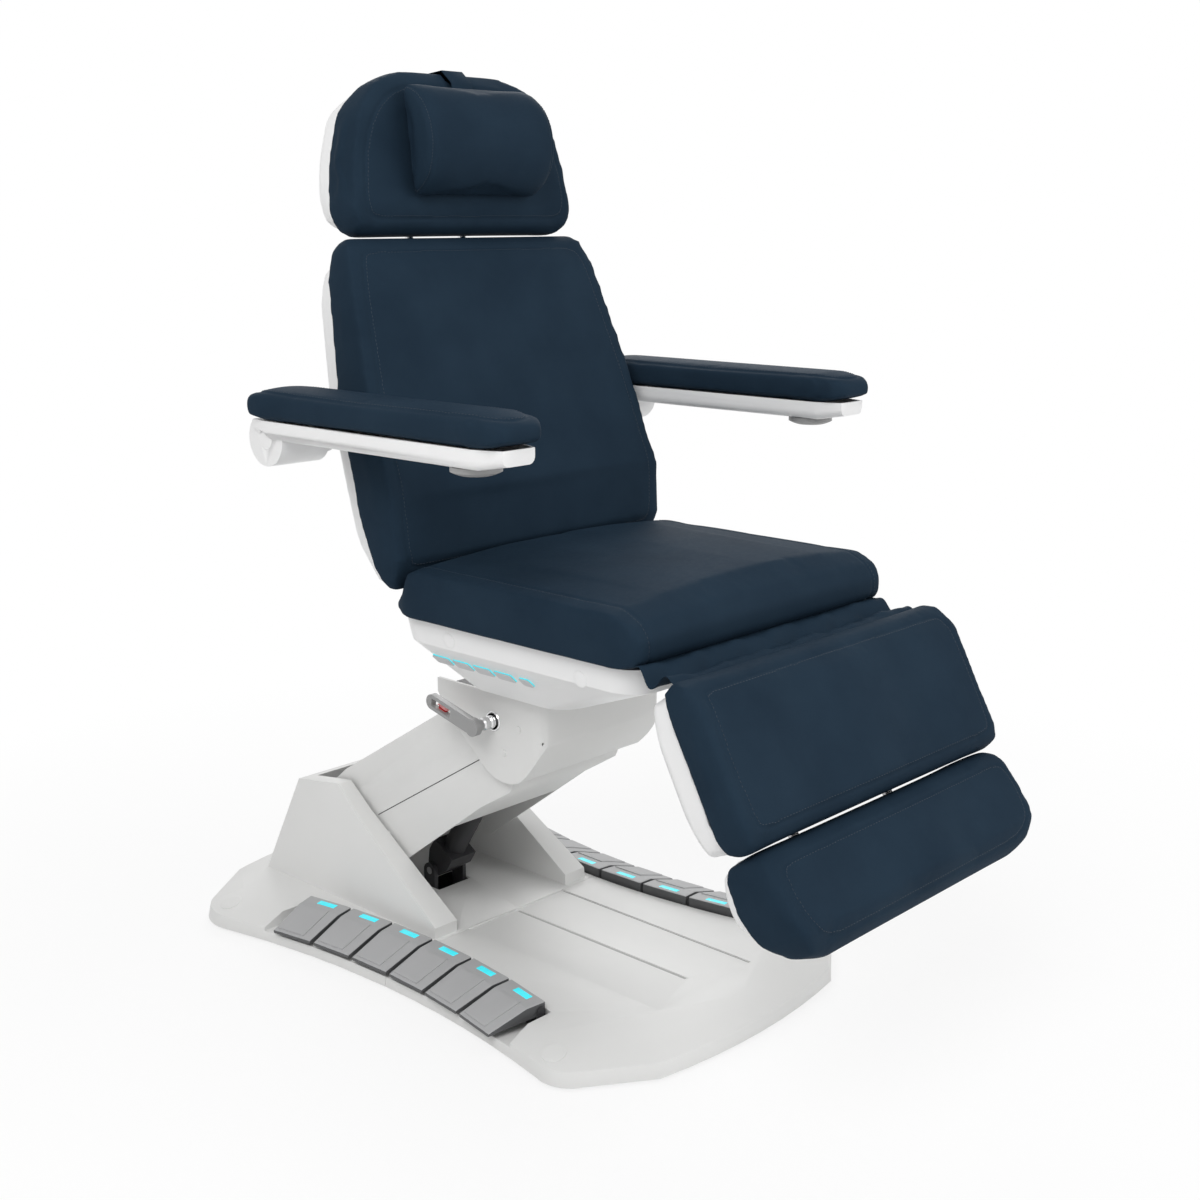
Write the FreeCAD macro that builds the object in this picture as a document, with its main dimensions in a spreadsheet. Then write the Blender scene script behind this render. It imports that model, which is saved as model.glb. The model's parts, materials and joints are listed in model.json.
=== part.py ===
import FreeCAD, Part
import math
import os
import Sketcher
from types import SimpleNamespace

# Procedure chair. Millimetres, +Z up, the sitter faces -Y, and the sitter's right is -X.
# The origin is on the floor, under the middle of the whole chair.

SIZES = {
    # Fits and allowances
    "overrun": 20,
    "touch_gap": 0.3,
    "run_fit": 0.05,
    "side_gap": 1,
    # Base mouldings
    "base_length": 1149,
    "base_width": 726,
    "base_centre_y": 153,
    "base_floor_gap": 5,
    "base_rim_height": 28,
    "base_rim_draft": 4,
    "base_deck_height": 46,
    "base_deck_inset": 52,
    "base_wall": 4,
    "base_deck_wall": 7,
    "base_split_y": 137,
    "base_seam": 0.6,
    "recess_width": 236,
    "recess_rear_y": 178,
    "recess_length": 484,
    "recess_depth": 2.5,
    "groove_width": 7,
    "groove_end": 40,
    "groove_depth": 1.5,
    # Lift housing on the base
    "hump_back": 162,
    "hump_crest_back": 78,
    "hump_crest_front": 40,
    "hump_shoulder": 97,
    "hump_toe": 324,
    "hump_height": 256,
    "hump_crest_drop": 18,
    "hump_shoulder_drop": 44,
    "hump_toe_height": 66,
    "hump_foot_width": 380,
    "hump_crest_width": 330,
    "hump_rear_wall": 24,
    "well_width": 272,
    # Base frame, feet and pins
    "frame_plate_z": 8,
    "frame_plate": 8,
    "frame_width": 262,
    "frame_front_y": -300,
    "frame_length": 930,
    "foot_bar": 44,
    "foot_span_rear": 600,
    "foot_span_front": 580,
    "foot_rear_y": 555,
    "foot_front_y": -252,
    "foot_pad_radius": 24,
    "foot_stud_radius": 7,
    "foot_stud_rise": 14,
    "upright_plate": 8,
    "upright_gap": 282,
    "upright_length": 130,
    "pivot_boss_radius": 34,
    "pivot_pin_radius": 12,
    "link_pin_radius": 6,
    # Lift arm
    "lift_pivot_y": 470,
    "lift_pivot_z": 165,
    "lift_arm_length": 476,
    "lift_angle": 31.7,
    "arm_cover_width": 260,
    "arm_cover_wall": 4,
    "arm_cover_top": 80,
    "arm_cover_heel": 126,
    "arm_cover_belly": 97,
    "arm_cover_end_radius": 70,
    "arm_plate": 8,
    "arm_plate_gap": 190,
    "arm_plate_depth": 52,
    "arm_tube_radius": 20,
    "link_rise": 62,
    "link_depth": 20,
    "link_plate": 10,
    "link_gap": 110,
    "link_slot_half": 10,
    "lift_rise_angle": 31,
    "lift_fall_angle": 23,
    # Lift motor
    "motor_foot_ahead": 140,
    "motor_foot_z": 76,
    "motor_eye_along": 330,
    "motor_eye_drop": 25,
    "motor_tube_radius": 21,
    "motor_tube_length": 205,
    "motor_box": 56,
    "motor_rod_radius": 9,
    "motor_eye_radius": 15,
    "motor_eye_play": 12,
    "motor_lug_gap": 62,
    "motor_lug": 8,
    "motor_pin_radius": 7,
    # Column
    "column_width": 292,
    "column_wall": 6,
    "column_rise": 90,
    "column_front": 147,
    "column_back": 106,
    "column_drop": 60,
    "column_plate": 6,
    "column_top_plate": 8,
    "column_corner": 26,
    "bearing_radius": 90,
    "bearing_bore": 60,
    "bearing_height": 14,
    "swivel_y": 10,
    # Swivel lock lever
    "lever_ahead": 30,
    "lever_rise": 41,
    "lever_socket_radius": 17,
    "lever_stem_radius": 9,
    "lever_stem_out": 50,
    "lever_collar_radius": 15,
    "lever_length": 112,
    "lever_width": 26,
    "lever_thickness": 12,
    "lever_pitch": 14,
    # Seat pan and frame
    "pan_gap": 15.5,
    "pan_depth": 130,
    "pan_band": 38,
    "pan_width": 572,
    "pan_length": 515,
    "pan_rear_y": 111,
    "pan_corner": 50,
    "pan_band_draft": 6,
    "pan_bottom_width": 370,
    "pan_bottom_rear": 46,
    "pan_bottom_front": 236,
    "pan_wall": 4,
    "hub_flange_radius": 100,
    "hub_flange": 6,
    "seat_plate": 8,
    "seat_plate_drop": 4,
    "seat_plate_width": 470,
    "seat_plate_inset": 28,
    "seat_post": 100,
    "ear_plate": 10,
    "ear_depth": 18,
    "ear_radius": 15,
    "hinge_pin_radius": 8,
    "back_ear_span": 384,
    "leg_ear_span": 300,
    # Seat motors
    "seat_motor_x": 110,
    "seat_motor_radius": 22,
    "seat_motor_length": 190,
    "seat_rod_radius": 8,
    "rod_pin_radius": 5,
    "rod_head": 20,
    "crank_plate": 8,
    "crank_width": 26,
    "crank_slot": 15,
    "back_crank_lean": 34,
    "back_rod_drop": 55,
    "leg_crank_lean": 31,
    "leg_rod_drop": 47,
    # Buttons
    "button_width": 38,
    "power_button_width": 22,
    "button_height": 20,
    "button_corner": 4,
    "button_length": 14,
    "button_proud": 2.5,
    "button_clearance": 0.4,
    "button_lip": 2,
    "button_row_y": 39,
    "button_pitch": 47,
    "button_drop": 32,
    # Seat cushion
    "seat_width": 606,
    "seat_front_y": -419,
    "seat_length": 518,
    "seat_height": 84,
    "seat_crown": 20,
    # Backrest
    "back_pivot_rear": 11,
    "back_pivot_rise": 18,
    "back_tilt": 19.6,
    "back_height": 560,
    "back_width": 626,
    "back_depth": 100,
    "back_crown": 6,
    "back_shell_depth": 36,
    "back_shell_wall": 4,
    "back_plate": 6,
    "back_plate_width": 420,
    "back_plate_n": 3,
    "arm_shaft_radius": 13,
    "arm_shaft_u": 285,
    "arm_shaft_n": 14,
    # Headrest
    "stem_radius": 7,
    "stem_spacing": 120,
    "stem_n": -6,
    "stem_low_u": 400,
    "stem_guide_length": 120,
    "stem_guide_wall": 3,
    "head_pivot_u": 632,
    "head_pin_radius": 6,
    "head_barrel_radius": 9,
    "head_barrel_length": 150,
    "head_tilt": 7.5,
    "head_height": 250,
    "head_width": 490,
    "head_front": 105,
    "head_crown": 8,
    "head_shell_depth": 36,
    "head_shell_wall": 4,
    "head_lug": 12,
    "roll_width": 290,
    "roll_height": 174,
    "roll_depth": 70,
    "roll_low": 36,
    "strap_width": 46,
    "strap_thickness": 2.5,
    # Arms
    "arm_centre_x": 390,
    "arm_pad_width": 110,
    "arm_pad_height": 42,
    "arm_pad_crown": 7,
    "arm_pad_rear": 37,
    "arm_pad_length": 564,
    "arm_tray_width": 98,
    "arm_tray_depth": 30,
    "arm_tray_wall": 4,
    "arm_tray_rise": 30,
    "arm_hub_radius": 42,
    "bracket_radius": 30,
    "bracket_thickness": 20,
    "knob_radius": 37,
    "knob_height": 15,
    "knob_dome": 5,
    "knob_ahead": 431,
    "knob_stud_radius": 5,
    # Legrest
    "leg_pivot_ahead": 18,
    "leg_pivot_drop": 18,
    "leg_drop": 62,
    "leg_width": 644,
    "leg_start": 14,
    "leg_length": 240,
    "leg_cushion_low": 47,
    "leg_cushion_high": 114,
    "leg_crown": 8,
    "leg_shell_depth": 52,
    "leg_shell_wall": 4,
    "leg_plate": 6,
    "leg_plate_up": 25,
    "leg_plate_width": 380,
    "rail_radius": 8,
    "rail_spacing": 240,
    "rail_up": 15,
    "rail_length": 290,
    "rail_guide_wall": 3,
    # Footrest
    "foot_gap": 3,
    "foot_width": 616,
    "foot_length": 160,
    "foot_cushion_low": 28,
    "foot_cushion_high": 130,
    "foot_crown": 8,
    "foot_shell_depth": 30,
    "foot_shell_wall": 4,
    # Foot switches
    "pedal_arc_radius": 1440,
    "pedal_inner_x": 209,
    "pedal_arc_y": 125,
    "pedal_pitch": 102,
    "pedal_length": 104,
    "pedal_inner_width": 96,
    "pedal_outer_width": 85,
    "pedal_height": 62,
    "pedal_low": 40,
    "pedal_flat": 34,
    "pedal_flat_drop": 3,
    "pedal_toe_height": 36,
    "pedal_toe_low": 30,
    "pedal_edge": 2,
    "pedal_pin_radius": 3,
    "pedal_pin_inset": 9,
    "pedal_pin_z": 49,
    "pedal_rib": 3,
    "pedal_rib_radius": 7,
    "bay_floor": 22,
    "bay_margin": 5,
    "rail_strip": 24,
}

PEDALS_A_SIDE = 6
SIDES = {"left": 1, "right": -1}

# Half plan of the base, from the rear to the front, as shares of its half width and half length.
# An entry with a second pair starts an arc through that pair.
BASE_OUTLINE_SHARES = [
    (0.590, 0.946),
    (0.876, 0.821, 0.970, 0.760),
    (0.998, 0.664, 0.851, -0.006),
    (0.953, -0.723, 0.945, -0.798),
    (0.876, -0.843),
    (0.606, -0.962),
]


class Size:
    """A number together with the sheet formula that gives it."""

    def __init__(self, value, text):
        self.value = value
        self.text = text

    def __add__(self, other):
        return Size(self.value + other.value, f"({self.text} + {other.text})")

    def __sub__(self, other):
        return Size(self.value - other.value, f"({self.text} - {other.text})")

    def __neg__(self):
        return Size(-self.value, f"(0 - {self.text})")

    def __mul__(self, other):
        other = other if isinstance(other, Size) else Size(other, f"({other})")
        return Size(self.value * other.value, f"({self.text} * {other.text})")

    __rmul__ = __mul__

    def __truediv__(self, other):
        other = other if isinstance(other, Size) else Size(other, f"({other})")
        return Size(self.value / other.value, f"({self.text} / {other.text})")


ZERO = Size(0.0, "0")


def sine(angle):
    return Size(math.sin(math.radians(angle.value)), f"sin({angle.text})")


def cosine(angle):
    return Size(math.cos(math.radians(angle.value)), f"cos({angle.text})")


def distance(a, b):
    return Size(math.hypot(a.value, b.value), f"hypot({a.text}; {b.text})")


def direction(opposite, adjacent):
    turn = math.degrees(math.atan2(opposite.value, adjacent.value))
    return Size(turn, f"atan2({opposite.text}; {adjacent.text})")


# The document and its sheet of driving dimensions
doc = FreeCAD.newDocument("procedure_chair")
sheet = doc.addObject("Spreadsheet::Sheet", "Sizes")
for row, (alias, number) in enumerate(SIZES.items(), start=1):
    sheet.set(f"A{row}", alias)
    sheet.set(f"B{row}", str(number))
    sheet.setAlias(f"B{row}", alias)
doc.recompute()
S = SimpleNamespace(**{alias: Size(float(number), f"Sizes.{alias}") for alias, number in SIZES.items()})
nodes = {}


def bind(obj, **sizes):
    for name, size in sizes.items():
        obj.setExpression(name, size.text)


def place(obj, x=ZERO, y=ZERO, z=ZERO, axis=(1, 0, 0), angle=None):
    """Put an object at a point, turned about one axis."""
    turn = FreeCAD.Rotation(FreeCAD.Vector(*axis), angle.value if angle else 0.0)
    obj.Placement = FreeCAD.Placement(FreeCAD.Vector(x.value, y.value, z.value), turn)
    obj.setExpression("Placement.Base.x", x.text)
    obj.setExpression("Placement.Base.y", y.text)
    obj.setExpression("Placement.Base.z", z.text)
    if angle:
        obj.setExpression("Placement.Rotation.Angle", angle.text)
    return obj


def node(label, obj):
    obj.Label = label
    nodes[label] = obj
    return obj


def box(x, y, z, length, width, height):
    """A block from its low corner."""
    block = doc.addObject("Part::Box", "Block")
    bind(block, Length=length, Width=width, Height=height)
    return place(block, x, y, z)


def rod(radius, length, x, y, z, axis=(0, 1, 0), angle=90):
    """A cylinder from the centre of its first end; it lies along X unless told otherwise."""
    bar = doc.addObject("Part::Cylinder", "Rod")
    bind(bar, Radius=radius, Height=length)
    return place(bar, x, y, z, axis, Size(angle, f"{angle}"))


def along_y(radius, length, x, y, z):
    return rod(radius, length, x, y, z, axis=(-1, 0, 0))


def upright(radius, length, x, y, z):
    return rod(radius, length, x, y, z, axis=(0, 0, 1), angle=0)


def fuse(*parts):
    joined = doc.addObject("Part::MultiFuse", "Join")
    joined.Shapes = list(parts)
    return joined


def cut(base, *tools):
    cutter = tools[0] if len(tools) == 1 else fuse(*tools)
    rest = doc.addObject("Part::Cut", "Cut")
    rest.Base = base
    rest.Tool = cutter
    return rest


def common(base, tool):
    overlap = doc.addObject("Part::Common", "Overlap")
    overlap.Base = base
    overlap.Tool = tool
    return overlap


def group(*parts):
    together = doc.addObject("Part::Compound", "Group")
    together.Links = list(parts)
    return together


def new_body():
    return doc.addObject("PartDesign::Body", "Piece")


def hold(sketch, geometry, end, coordinate, size, name, axis):
    """Fix one coordinate of a sketch point to a size."""
    if size.text == "0":
        sketch.addConstraint(Sketcher.Constraint("PointOnObject", geometry, end, axis))
        return
    index = sketch.addConstraint(Sketcher.Constraint(name, -1, 1, geometry, end, coordinate))
    sketch.setExpression(f"Constraints[{index}]", size.text)


def hold_point(sketch, geometry, end, x, y):
    hold(sketch, geometry, end, x.value, x, "DistanceX", -2)
    hold(sketch, geometry, end, y.value, y, "DistanceY", -1)


def outline(body, plane, points, offset=ZERO):
    """A closed outline on one of the body's planes. A point with four values starts an arc
    that passes through its second pair on the way to the next point."""
    sketch = body.newObject("Sketcher::SketchObject", "Outline")
    support = next(item for item in body.Origin.OriginFeatures if item.Role == plane)
    sketch.AttachmentSupport = [(support, "")]
    sketch.MapMode = "FlatFace"
    sketch.AttachmentOffset = FreeCAD.Placement(FreeCAD.Vector(0, 0, offset.value), FreeCAD.Rotation())
    sketch.setExpression("AttachmentOffset.Base.z", offset.text)
    count = len(points)
    corners = [FreeCAD.Vector(point[0].value, point[1].value, 0) for point in points]
    starts = []
    for index, point in enumerate(points):
        end = corners[(index + 1) % count]
        if len(point) == 4:
            middle = FreeCAD.Vector(point[2].value, point[3].value, 0)
            forward = (middle - corners[index]).cross(end - middle).z > 0
            ends = (corners[index], end) if forward else (end, corners[index])
            sketch.addGeometry(Part.Arc(ends[0], middle, ends[1]), False)
            starts.append(1 if forward else 2)
        else:
            sketch.addGeometry(Part.LineSegment(corners[index], end), False)
            starts.append(1)
    for index, point in enumerate(points):
        following = (index + 1) % count
        ends = 3 - starts[index]
        sketch.addConstraint(Sketcher.Constraint("Coincident", index, ends, following, starts[following]))
        hold_point(sketch, index, starts[index], point[0], point[1])
    for index, point in enumerate(points):
        if len(point) == 4:
            through = sketch.addGeometry(Part.Point(FreeCAD.Vector(point[2].value, point[3].value, 0)), True)
            hold_point(sketch, through, 1, point[2], point[3])
            sketch.addConstraint(Sketcher.Constraint("PointOnObject", through, 1, index))
    return sketch


def pad(body, plane, points, length, middle=True, offset=ZERO):
    feature = body.newObject("PartDesign::Pad", "Pad")
    feature.Profile = outline(body, plane, points, offset)
    feature.SideType = "Symmetric" if middle else "One side"
    bind(feature, Length=length)
    return body


def pocket(body, plane, points, length, offset=ZERO):
    """A pocket cut both ways from its plane."""
    feature = body.newObject("PartDesign::Pocket", "Pocket")
    feature.Profile = outline(body, plane, points, offset)
    feature.SideType = "Symmetric"
    bind(feature, Length=length)
    return body


def loft(body, plane, stations, ruled=True, kind="Additive"):
    """A loft through outlines at given distances from the plane."""
    sections = [outline(body, plane, points, offset) for offset, points in stations]
    feature = body.newObject(f"PartDesign::{kind}Loft", "Loft")
    feature.Profile = sections[0]
    feature.Sections = sections[1:]
    feature.Ruled = ruled
    return body


def revolve(body, plane, points):
    """A full turn about the sketch's own upright axis."""
    feature = body.newObject("PartDesign::Revolution", "Turn")
    sketch = outline(body, plane, points)
    feature.Profile = sketch
    feature.ReferenceAxis = (sketch, ["V_Axis"])
    return body


def soften(body, radius, wanted):
    """Round the edges that the test picks."""
    doc.recompute()
    base = body.Tip
    names = [f"Edge{number}" for number, edge in enumerate(base.Shape.Edges, start=1) if wanted(edge)]
    feature = body.newObject("PartDesign::Fillet", "Soften")
    feature.Base = (base, names)
    bind(feature, Radius=radius)
    return body


def rectangle(x0, y0, x1, y1):
    return [(x0, y0), (x1, y0), (x1, y1), (x0, y1)]


CORNER_SHARE = 1 - math.sqrt(0.5)


def rounded(half_width, rear, front, corner):
    """A plan rectangle with round corners, counter-clockwise."""
    inset = corner * CORNER_SHARE
    return [
        (-half_width + corner, front),
        (half_width - corner, front, half_width - inset, front + inset),
        (half_width, front + corner),
        (half_width, rear - corner, half_width - inset, rear - inset),
        (half_width - corner, rear),
        (-half_width + corner, rear, -half_width + inset, rear - inset),
        (-half_width, rear - corner),
        (-half_width, front + corner, -half_width + inset, front + inset),
    ]


def pillow_section(half_width, low, high, crown, bulge):
    """A cushion's cross-section: flat below, drawn in at its seams, crowned above."""
    waist = (low + high) / 2
    return [
        (-half_width, low),
        (half_width, low, half_width + bulge, waist),
        (half_width, high, ZERO, high + crown),
        (-half_width, high, -half_width - bulge, waist),
    ]


SHELL_CORNER_SHARE = 0.5


def shell_section(half_width, rim, back, turned):
    """A shallow shell's cross-section: open rim line, upright sides, round corners, flat back."""
    corner = (back - rim) * SHELL_CORNER_SHARE
    inset = corner * turned
    bow_x = half_width - inset * CORNER_SHARE
    bow_y = back - corner * CORNER_SHARE
    return [
        (-half_width, rim),
        (half_width, rim),
        (half_width, back - corner, bow_x, bow_y),
        (half_width - inset, back),
        (-half_width + inset, back, -bow_x, bow_y),
        (-half_width, back - corner),
    ]


# Places that several pieces share
base_half_width = S.base_width / 2
base_half_length = S.base_length / 2
pivot_y = S.lift_pivot_y
pivot_z = S.lift_pivot_z
column_y = pivot_y - S.lift_arm_length * cosine(S.lift_angle)
column_z = pivot_z + S.lift_arm_length * sine(S.lift_angle)
column_top = column_z + S.column_rise
pan_bottom = column_top + S.pan_gap
pan_top = pan_bottom + S.pan_depth
pan_front_y = S.pan_rear_y - S.pan_length
back_y = S.pan_rear_y + S.back_pivot_rear
back_z = pan_top + S.back_pivot_rise
leg_y = pan_front_y - S.leg_pivot_ahead
leg_z = pan_top - S.leg_pivot_drop


def in_back(u, n):
    """A point of the backrest's own frame, u up the back and n rearwards, as Y and Z."""
    y = back_y + sine(S.back_tilt) * u + cosine(S.back_tilt) * n
    z = back_z + cosine(S.back_tilt) * u - sine(S.back_tilt) * n
    return y, z


head_y, head_z = in_back(S.head_pivot_u, S.stem_n)
arm_y, arm_z = in_back(S.arm_shaft_u, S.arm_shaft_n)


def on_back(obj):
    return place(obj, ZERO, back_y, back_z, angle=-S.back_tilt)


def on_head(obj):
    return place(obj, ZERO, head_y, head_z, angle=-S.head_tilt)


def on_leg(obj):
    return place(obj, ZERO, leg_y, leg_z, angle=S.leg_drop)


def on_arm(obj):
    return place(obj, ZERO, pivot_y, pivot_z, angle=-S.lift_angle)


# Base mouldings
def base_outline(inset):
    """The whole plan of the base, drawn in by an inset."""
    wide = base_half_width - inset
    deep = base_half_length - inset
    right = []
    for shares in BASE_OUTLINE_SHARES:
        pairs = [(wide * shares[0], S.base_centre_y + deep * shares[1])]
        if len(shares) == 4:
            pairs.append((wide * shares[2], S.base_centre_y + deep * shares[3]))
        right.append(pairs)
    points = [(*pairs[0], *pairs[1]) if len(pairs) == 2 else pairs[0] for pairs in right]
    front = (ZERO, S.base_centre_y - deep)
    points[-1] = (*points[-1][:2], *front)
    mirrored = []
    for index in range(len(right) - 1, -1, -1):
        x, y = right[index][0]
        before = right[index - 1] if index else None
        if before and len(before) == 2:
            mirrored.append((-x, y, -before[1][0], before[1][1]))
        else:
            mirrored.append((-x, y))
    rear = (ZERO, S.base_centre_y + deep)
    mirrored[-1] = (*mirrored[-1][:2], *rear)
    return points + mirrored


def base_block(inset, floor, rim, deck):
    """The crowned block of the base between three levels."""
    stations = [
        (floor, base_outline(inset)),
        (rim, base_outline(S.base_rim_draft + inset)),
        (deck, base_outline(S.base_deck_inset + inset)),
    ]
    return loft(new_body(), "XY_Plane", stations)


hump_rear_y = pivot_y + S.hump_back
hump_toe_y = pivot_y - S.hump_toe


def hump_block(inset):
    """The lift housing's outer form, drawn in by an inset: a side profile with leaning walls."""
    floor = S.base_deck_height - S.base_deck_wall
    profile = [
        (hump_rear_y - inset, floor),
        (pivot_y + S.hump_crest_back - inset, S.hump_height - S.hump_crest_drop - inset),
        (pivot_y - S.hump_crest_front, S.hump_height - inset),
        (pivot_y - S.hump_shoulder, S.hump_height - S.hump_shoulder_drop - inset),
        (hump_toe_y + inset, S.hump_toe_height - inset),
        (hump_toe_y + inset, floor),
    ]
    side = pad(new_body(), "YZ_Plane", profile, S.hump_foot_width)
    foot = S.hump_foot_width / 2 - inset
    crest = S.hump_crest_width / 2 - inset
    section = [(-foot, floor), (foot, floor), (crest, S.hump_height), (-crest, S.hump_height)]
    ends = pad(new_body(), "XZ_Plane", section, (hump_rear_y + S.overrun) * 2)
    return common(side, ends)


def well_block(grow):
    """The open well that the lift arm swings in."""
    rear = S.hump_rear_wall - grow
    floor = S.base_deck_height - grow
    top = S.hump_height + S.overrun
    lean = (S.hump_back - S.hump_crest_back) * (top - floor) / (S.hump_height - S.base_deck_height)
    profile = [
        (hump_toe_y - S.overrun, floor),
        (hump_rear_y - rear, floor),
        (hump_rear_y - rear - lean, top),
        (hump_toe_y - S.overrun, top),
    ]
    return pad(new_body(), "YZ_Plane", profile, S.well_width + grow * 2)


pedal_span = S.pedal_pitch * PEDALS_A_SIDE
bay_rear_y = S.pedal_arc_y + pedal_span / 2 + S.bay_margin
bay_front_y = S.pedal_arc_y - pedal_span / 2 - S.bay_margin


def bay_block(side, grow, floor):
    """The bay that the foot switches of one side stand in, with a bowed inner wall."""
    half_span = pedal_span / 2 + S.bay_margin
    bow = half_span * half_span / (S.pedal_arc_radius * 2)
    near = (S.pedal_inner_x - S.bay_margin - grow) * -side
    far = (S.pedal_inner_x - S.bay_margin - grow + bow) * -side
    out = (base_half_width + S.overrun) * -side
    points = [
        (out, bay_front_y - grow),
        (far, bay_front_y - grow, near, S.pedal_arc_y),
        (far, bay_rear_y + grow),
        (out, bay_rear_y + grow),
    ]
    return pad(new_body(), "XY_Plane", points, S.base_deck_height * 2, middle=False, offset=floor)


def base_covers():
    deck_under = S.base_deck_height - S.base_deck_wall
    outer = fuse(base_block(ZERO, S.base_floor_gap, S.base_rim_height, S.base_deck_height), hump_block(ZERO))
    bays = [bay_block(side, ZERO, S.bay_floor) for side in SIDES.values()]
    walls = [bay_block(side, S.base_wall, S.bay_floor - S.base_wall) for side in SIDES.values()]
    recess = box(-S.recess_width / 2, S.recess_rear_y - S.recess_length, S.base_deck_height - S.recess_depth,
                 S.recess_width, S.recess_length - (S.recess_rear_y - S.base_split_y), S.overrun)
    groove = box(-S.groove_width / 2, S.recess_rear_y - S.recess_length + S.groove_end,
                 S.base_deck_height - S.recess_depth - S.groove_depth, S.groove_width,
                 S.recess_length - S.groove_end * 2, S.overrun)
    well = well_block(ZERO)
    hollow = base_block(S.base_wall, S.base_floor_gap - S.overrun, S.base_rim_height - S.base_wall,
                        deck_under)
    cavity = cut(fuse(hollow, cut(hump_block(S.base_wall), well_block(S.base_wall))), *walls)
    motor_slot = box(-S.motor_lug_gap / 2 - S.motor_lug - S.side_gap,
                     pivot_y - S.motor_foot_ahead - S.motor_box / 2, ZERO,
                     S.motor_lug_gap + (S.motor_lug + S.side_gap) * 2, S.motor_box, S.base_deck_height * 2)
    pin_hole = rod(S.pivot_pin_radius + S.side_gap, S.upright_gap + S.upright_plate * 2 + S.side_gap * 2,
                   -S.upright_gap / 2 - S.upright_plate - S.side_gap, pivot_y, pivot_z)
    link_hole = rod(S.link_pin_radius + S.side_gap, S.upright_gap + S.upright_plate * 2 + S.side_gap * 2,
                    -S.upright_gap / 2 - S.upright_plate - S.side_gap, pivot_y, pivot_z + S.link_rise)
    whole = cut(outer, *bays, recess, groove, well, cavity, motor_slot, pin_hole, link_hole)
    reach = S.base_length + S.overrun
    half_seam = S.base_seam / 2
    front = box(-S.base_width, S.base_split_y - half_seam - reach, -S.overrun, S.base_width * 2, reach,
                S.hump_height * 2)
    rear = box(-S.base_width, S.base_split_y + half_seam, -S.overrun, S.base_width * 2, reach,
               S.hump_height * 2)
    node("base_front_cover", common(whole, front))
    node("base_rear_cover", common(whole, rear))


FEET = [("foot_span_rear", "foot_rear_y"), ("foot_span_front", "foot_front_y")]


def foot_places():
    for span, row_y in FEET:
        for side in SIDES.values():
            yield getattr(S, span) / 2 * side, getattr(S, row_y)


def base_frame():
    plate_top = S.frame_plate_z + S.frame_plate
    pieces = [box(-S.frame_width / 2, S.frame_front_y, S.frame_plate_z, S.frame_width, S.frame_length,
                  S.frame_plate)]
    for span, row_y in FEET:
        reach = getattr(S, span) + S.foot_bar
        pieces.append(box(-reach / 2, getattr(S, row_y) - S.foot_bar / 2, S.frame_plate_z, reach,
                          S.foot_bar, S.frame_plate))
    half = S.upright_length / 2
    top = pivot_z + S.link_rise
    cheek = [
        (pivot_y - half, S.frame_plate_z),
        (pivot_y + half, S.frame_plate_z),
        (pivot_y + S.pivot_boss_radius, pivot_z),
        (pivot_y + S.upright_plate * 2, top, pivot_y, top + S.upright_plate * 2),
        (pivot_y - S.upright_plate * 2, top),
        (pivot_y - S.pivot_boss_radius, pivot_z),
    ]
    for side in SIDES.values():
        middle = (S.upright_gap + S.upright_plate) / 2 * side
        pieces.append(pad(new_body(), "YZ_Plane", cheek, S.upright_plate, offset=middle))
        foot_x = S.upright_gap / 2 + S.upright_plate
        inner_x = S.frame_width / 2 - S.upright_plate
        low_x = inner_x if side > 0 else -foot_x
        pieces.append(box(low_x, pivot_y - half, S.frame_plate_z, foot_x - inner_x, half * 2, S.frame_plate))
    foot_y = pivot_y - S.motor_foot_ahead
    lug = [
        (foot_y - S.motor_eye_radius, S.frame_plate_z),
        (foot_y + S.motor_eye_radius, S.frame_plate_z),
        (foot_y + S.motor_eye_radius, S.motor_foot_z, foot_y, S.motor_foot_z + S.motor_eye_radius),
        (foot_y - S.motor_eye_radius, S.motor_foot_z),
    ]
    for side in SIDES.values():
        middle = (S.motor_lug_gap + S.motor_lug) / 2 * side
        pieces.append(pad(new_body(), "YZ_Plane", lug, S.motor_lug, offset=middle))
    span = S.upright_gap + S.upright_plate * 2 + S.overrun
    holes = [
        rod(S.pivot_pin_radius, span, -span / 2, pivot_y, pivot_z),
        rod(S.link_pin_radius, span, -span / 2, pivot_y, top),
        rod(S.motor_pin_radius, span, -span / 2, foot_y, S.motor_foot_z),
    ]
    holes += [upright(S.foot_stud_radius, S.overrun, x, y, S.frame_plate_z - S.frame_plate / 2) for x,
              y in foot_places()]
    node("base_frame", cut(fuse(*pieces), *holes))


def levelling_feet():
    """Rubber pad and threaded stud in one turned shape, four of them."""
    feet = []
    for x, y in foot_places():
        profile = [
            (ZERO, ZERO),
            (S.foot_pad_radius, ZERO),
            (S.foot_pad_radius, S.frame_plate_z),
            (S.foot_stud_radius, S.frame_plate_z),
            (S.foot_stud_radius, S.frame_plate_z + S.foot_stud_rise),
            (ZERO, S.frame_plate_z + S.foot_stud_rise),
        ]
        feet.append(place(revolve(new_body(), "XZ_Plane", profile), x, y))
    node("levelling_feet", group(*feet))


def base_pivot_pins():
    span = S.upright_gap + S.upright_plate * 2
    lug_span = S.motor_lug_gap + S.motor_lug * 2
    node("base_pivot_pins", group(
        rod(S.pivot_pin_radius, span, -span / 2, pivot_y, pivot_z),
        rod(S.link_pin_radius, span, -span / 2, pivot_y, pivot_z + S.link_rise),
        rod(S.motor_pin_radius, lug_span, -lug_span / 2, pivot_y - S.motor_foot_ahead, S.motor_foot_z),
    ))


# Foot switches: each side stands on an arc, with its hinge at the inner end
DEGREES = 180 / math.pi
pedal_step = S.pedal_pitch / S.pedal_arc_radius * DEGREES


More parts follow.
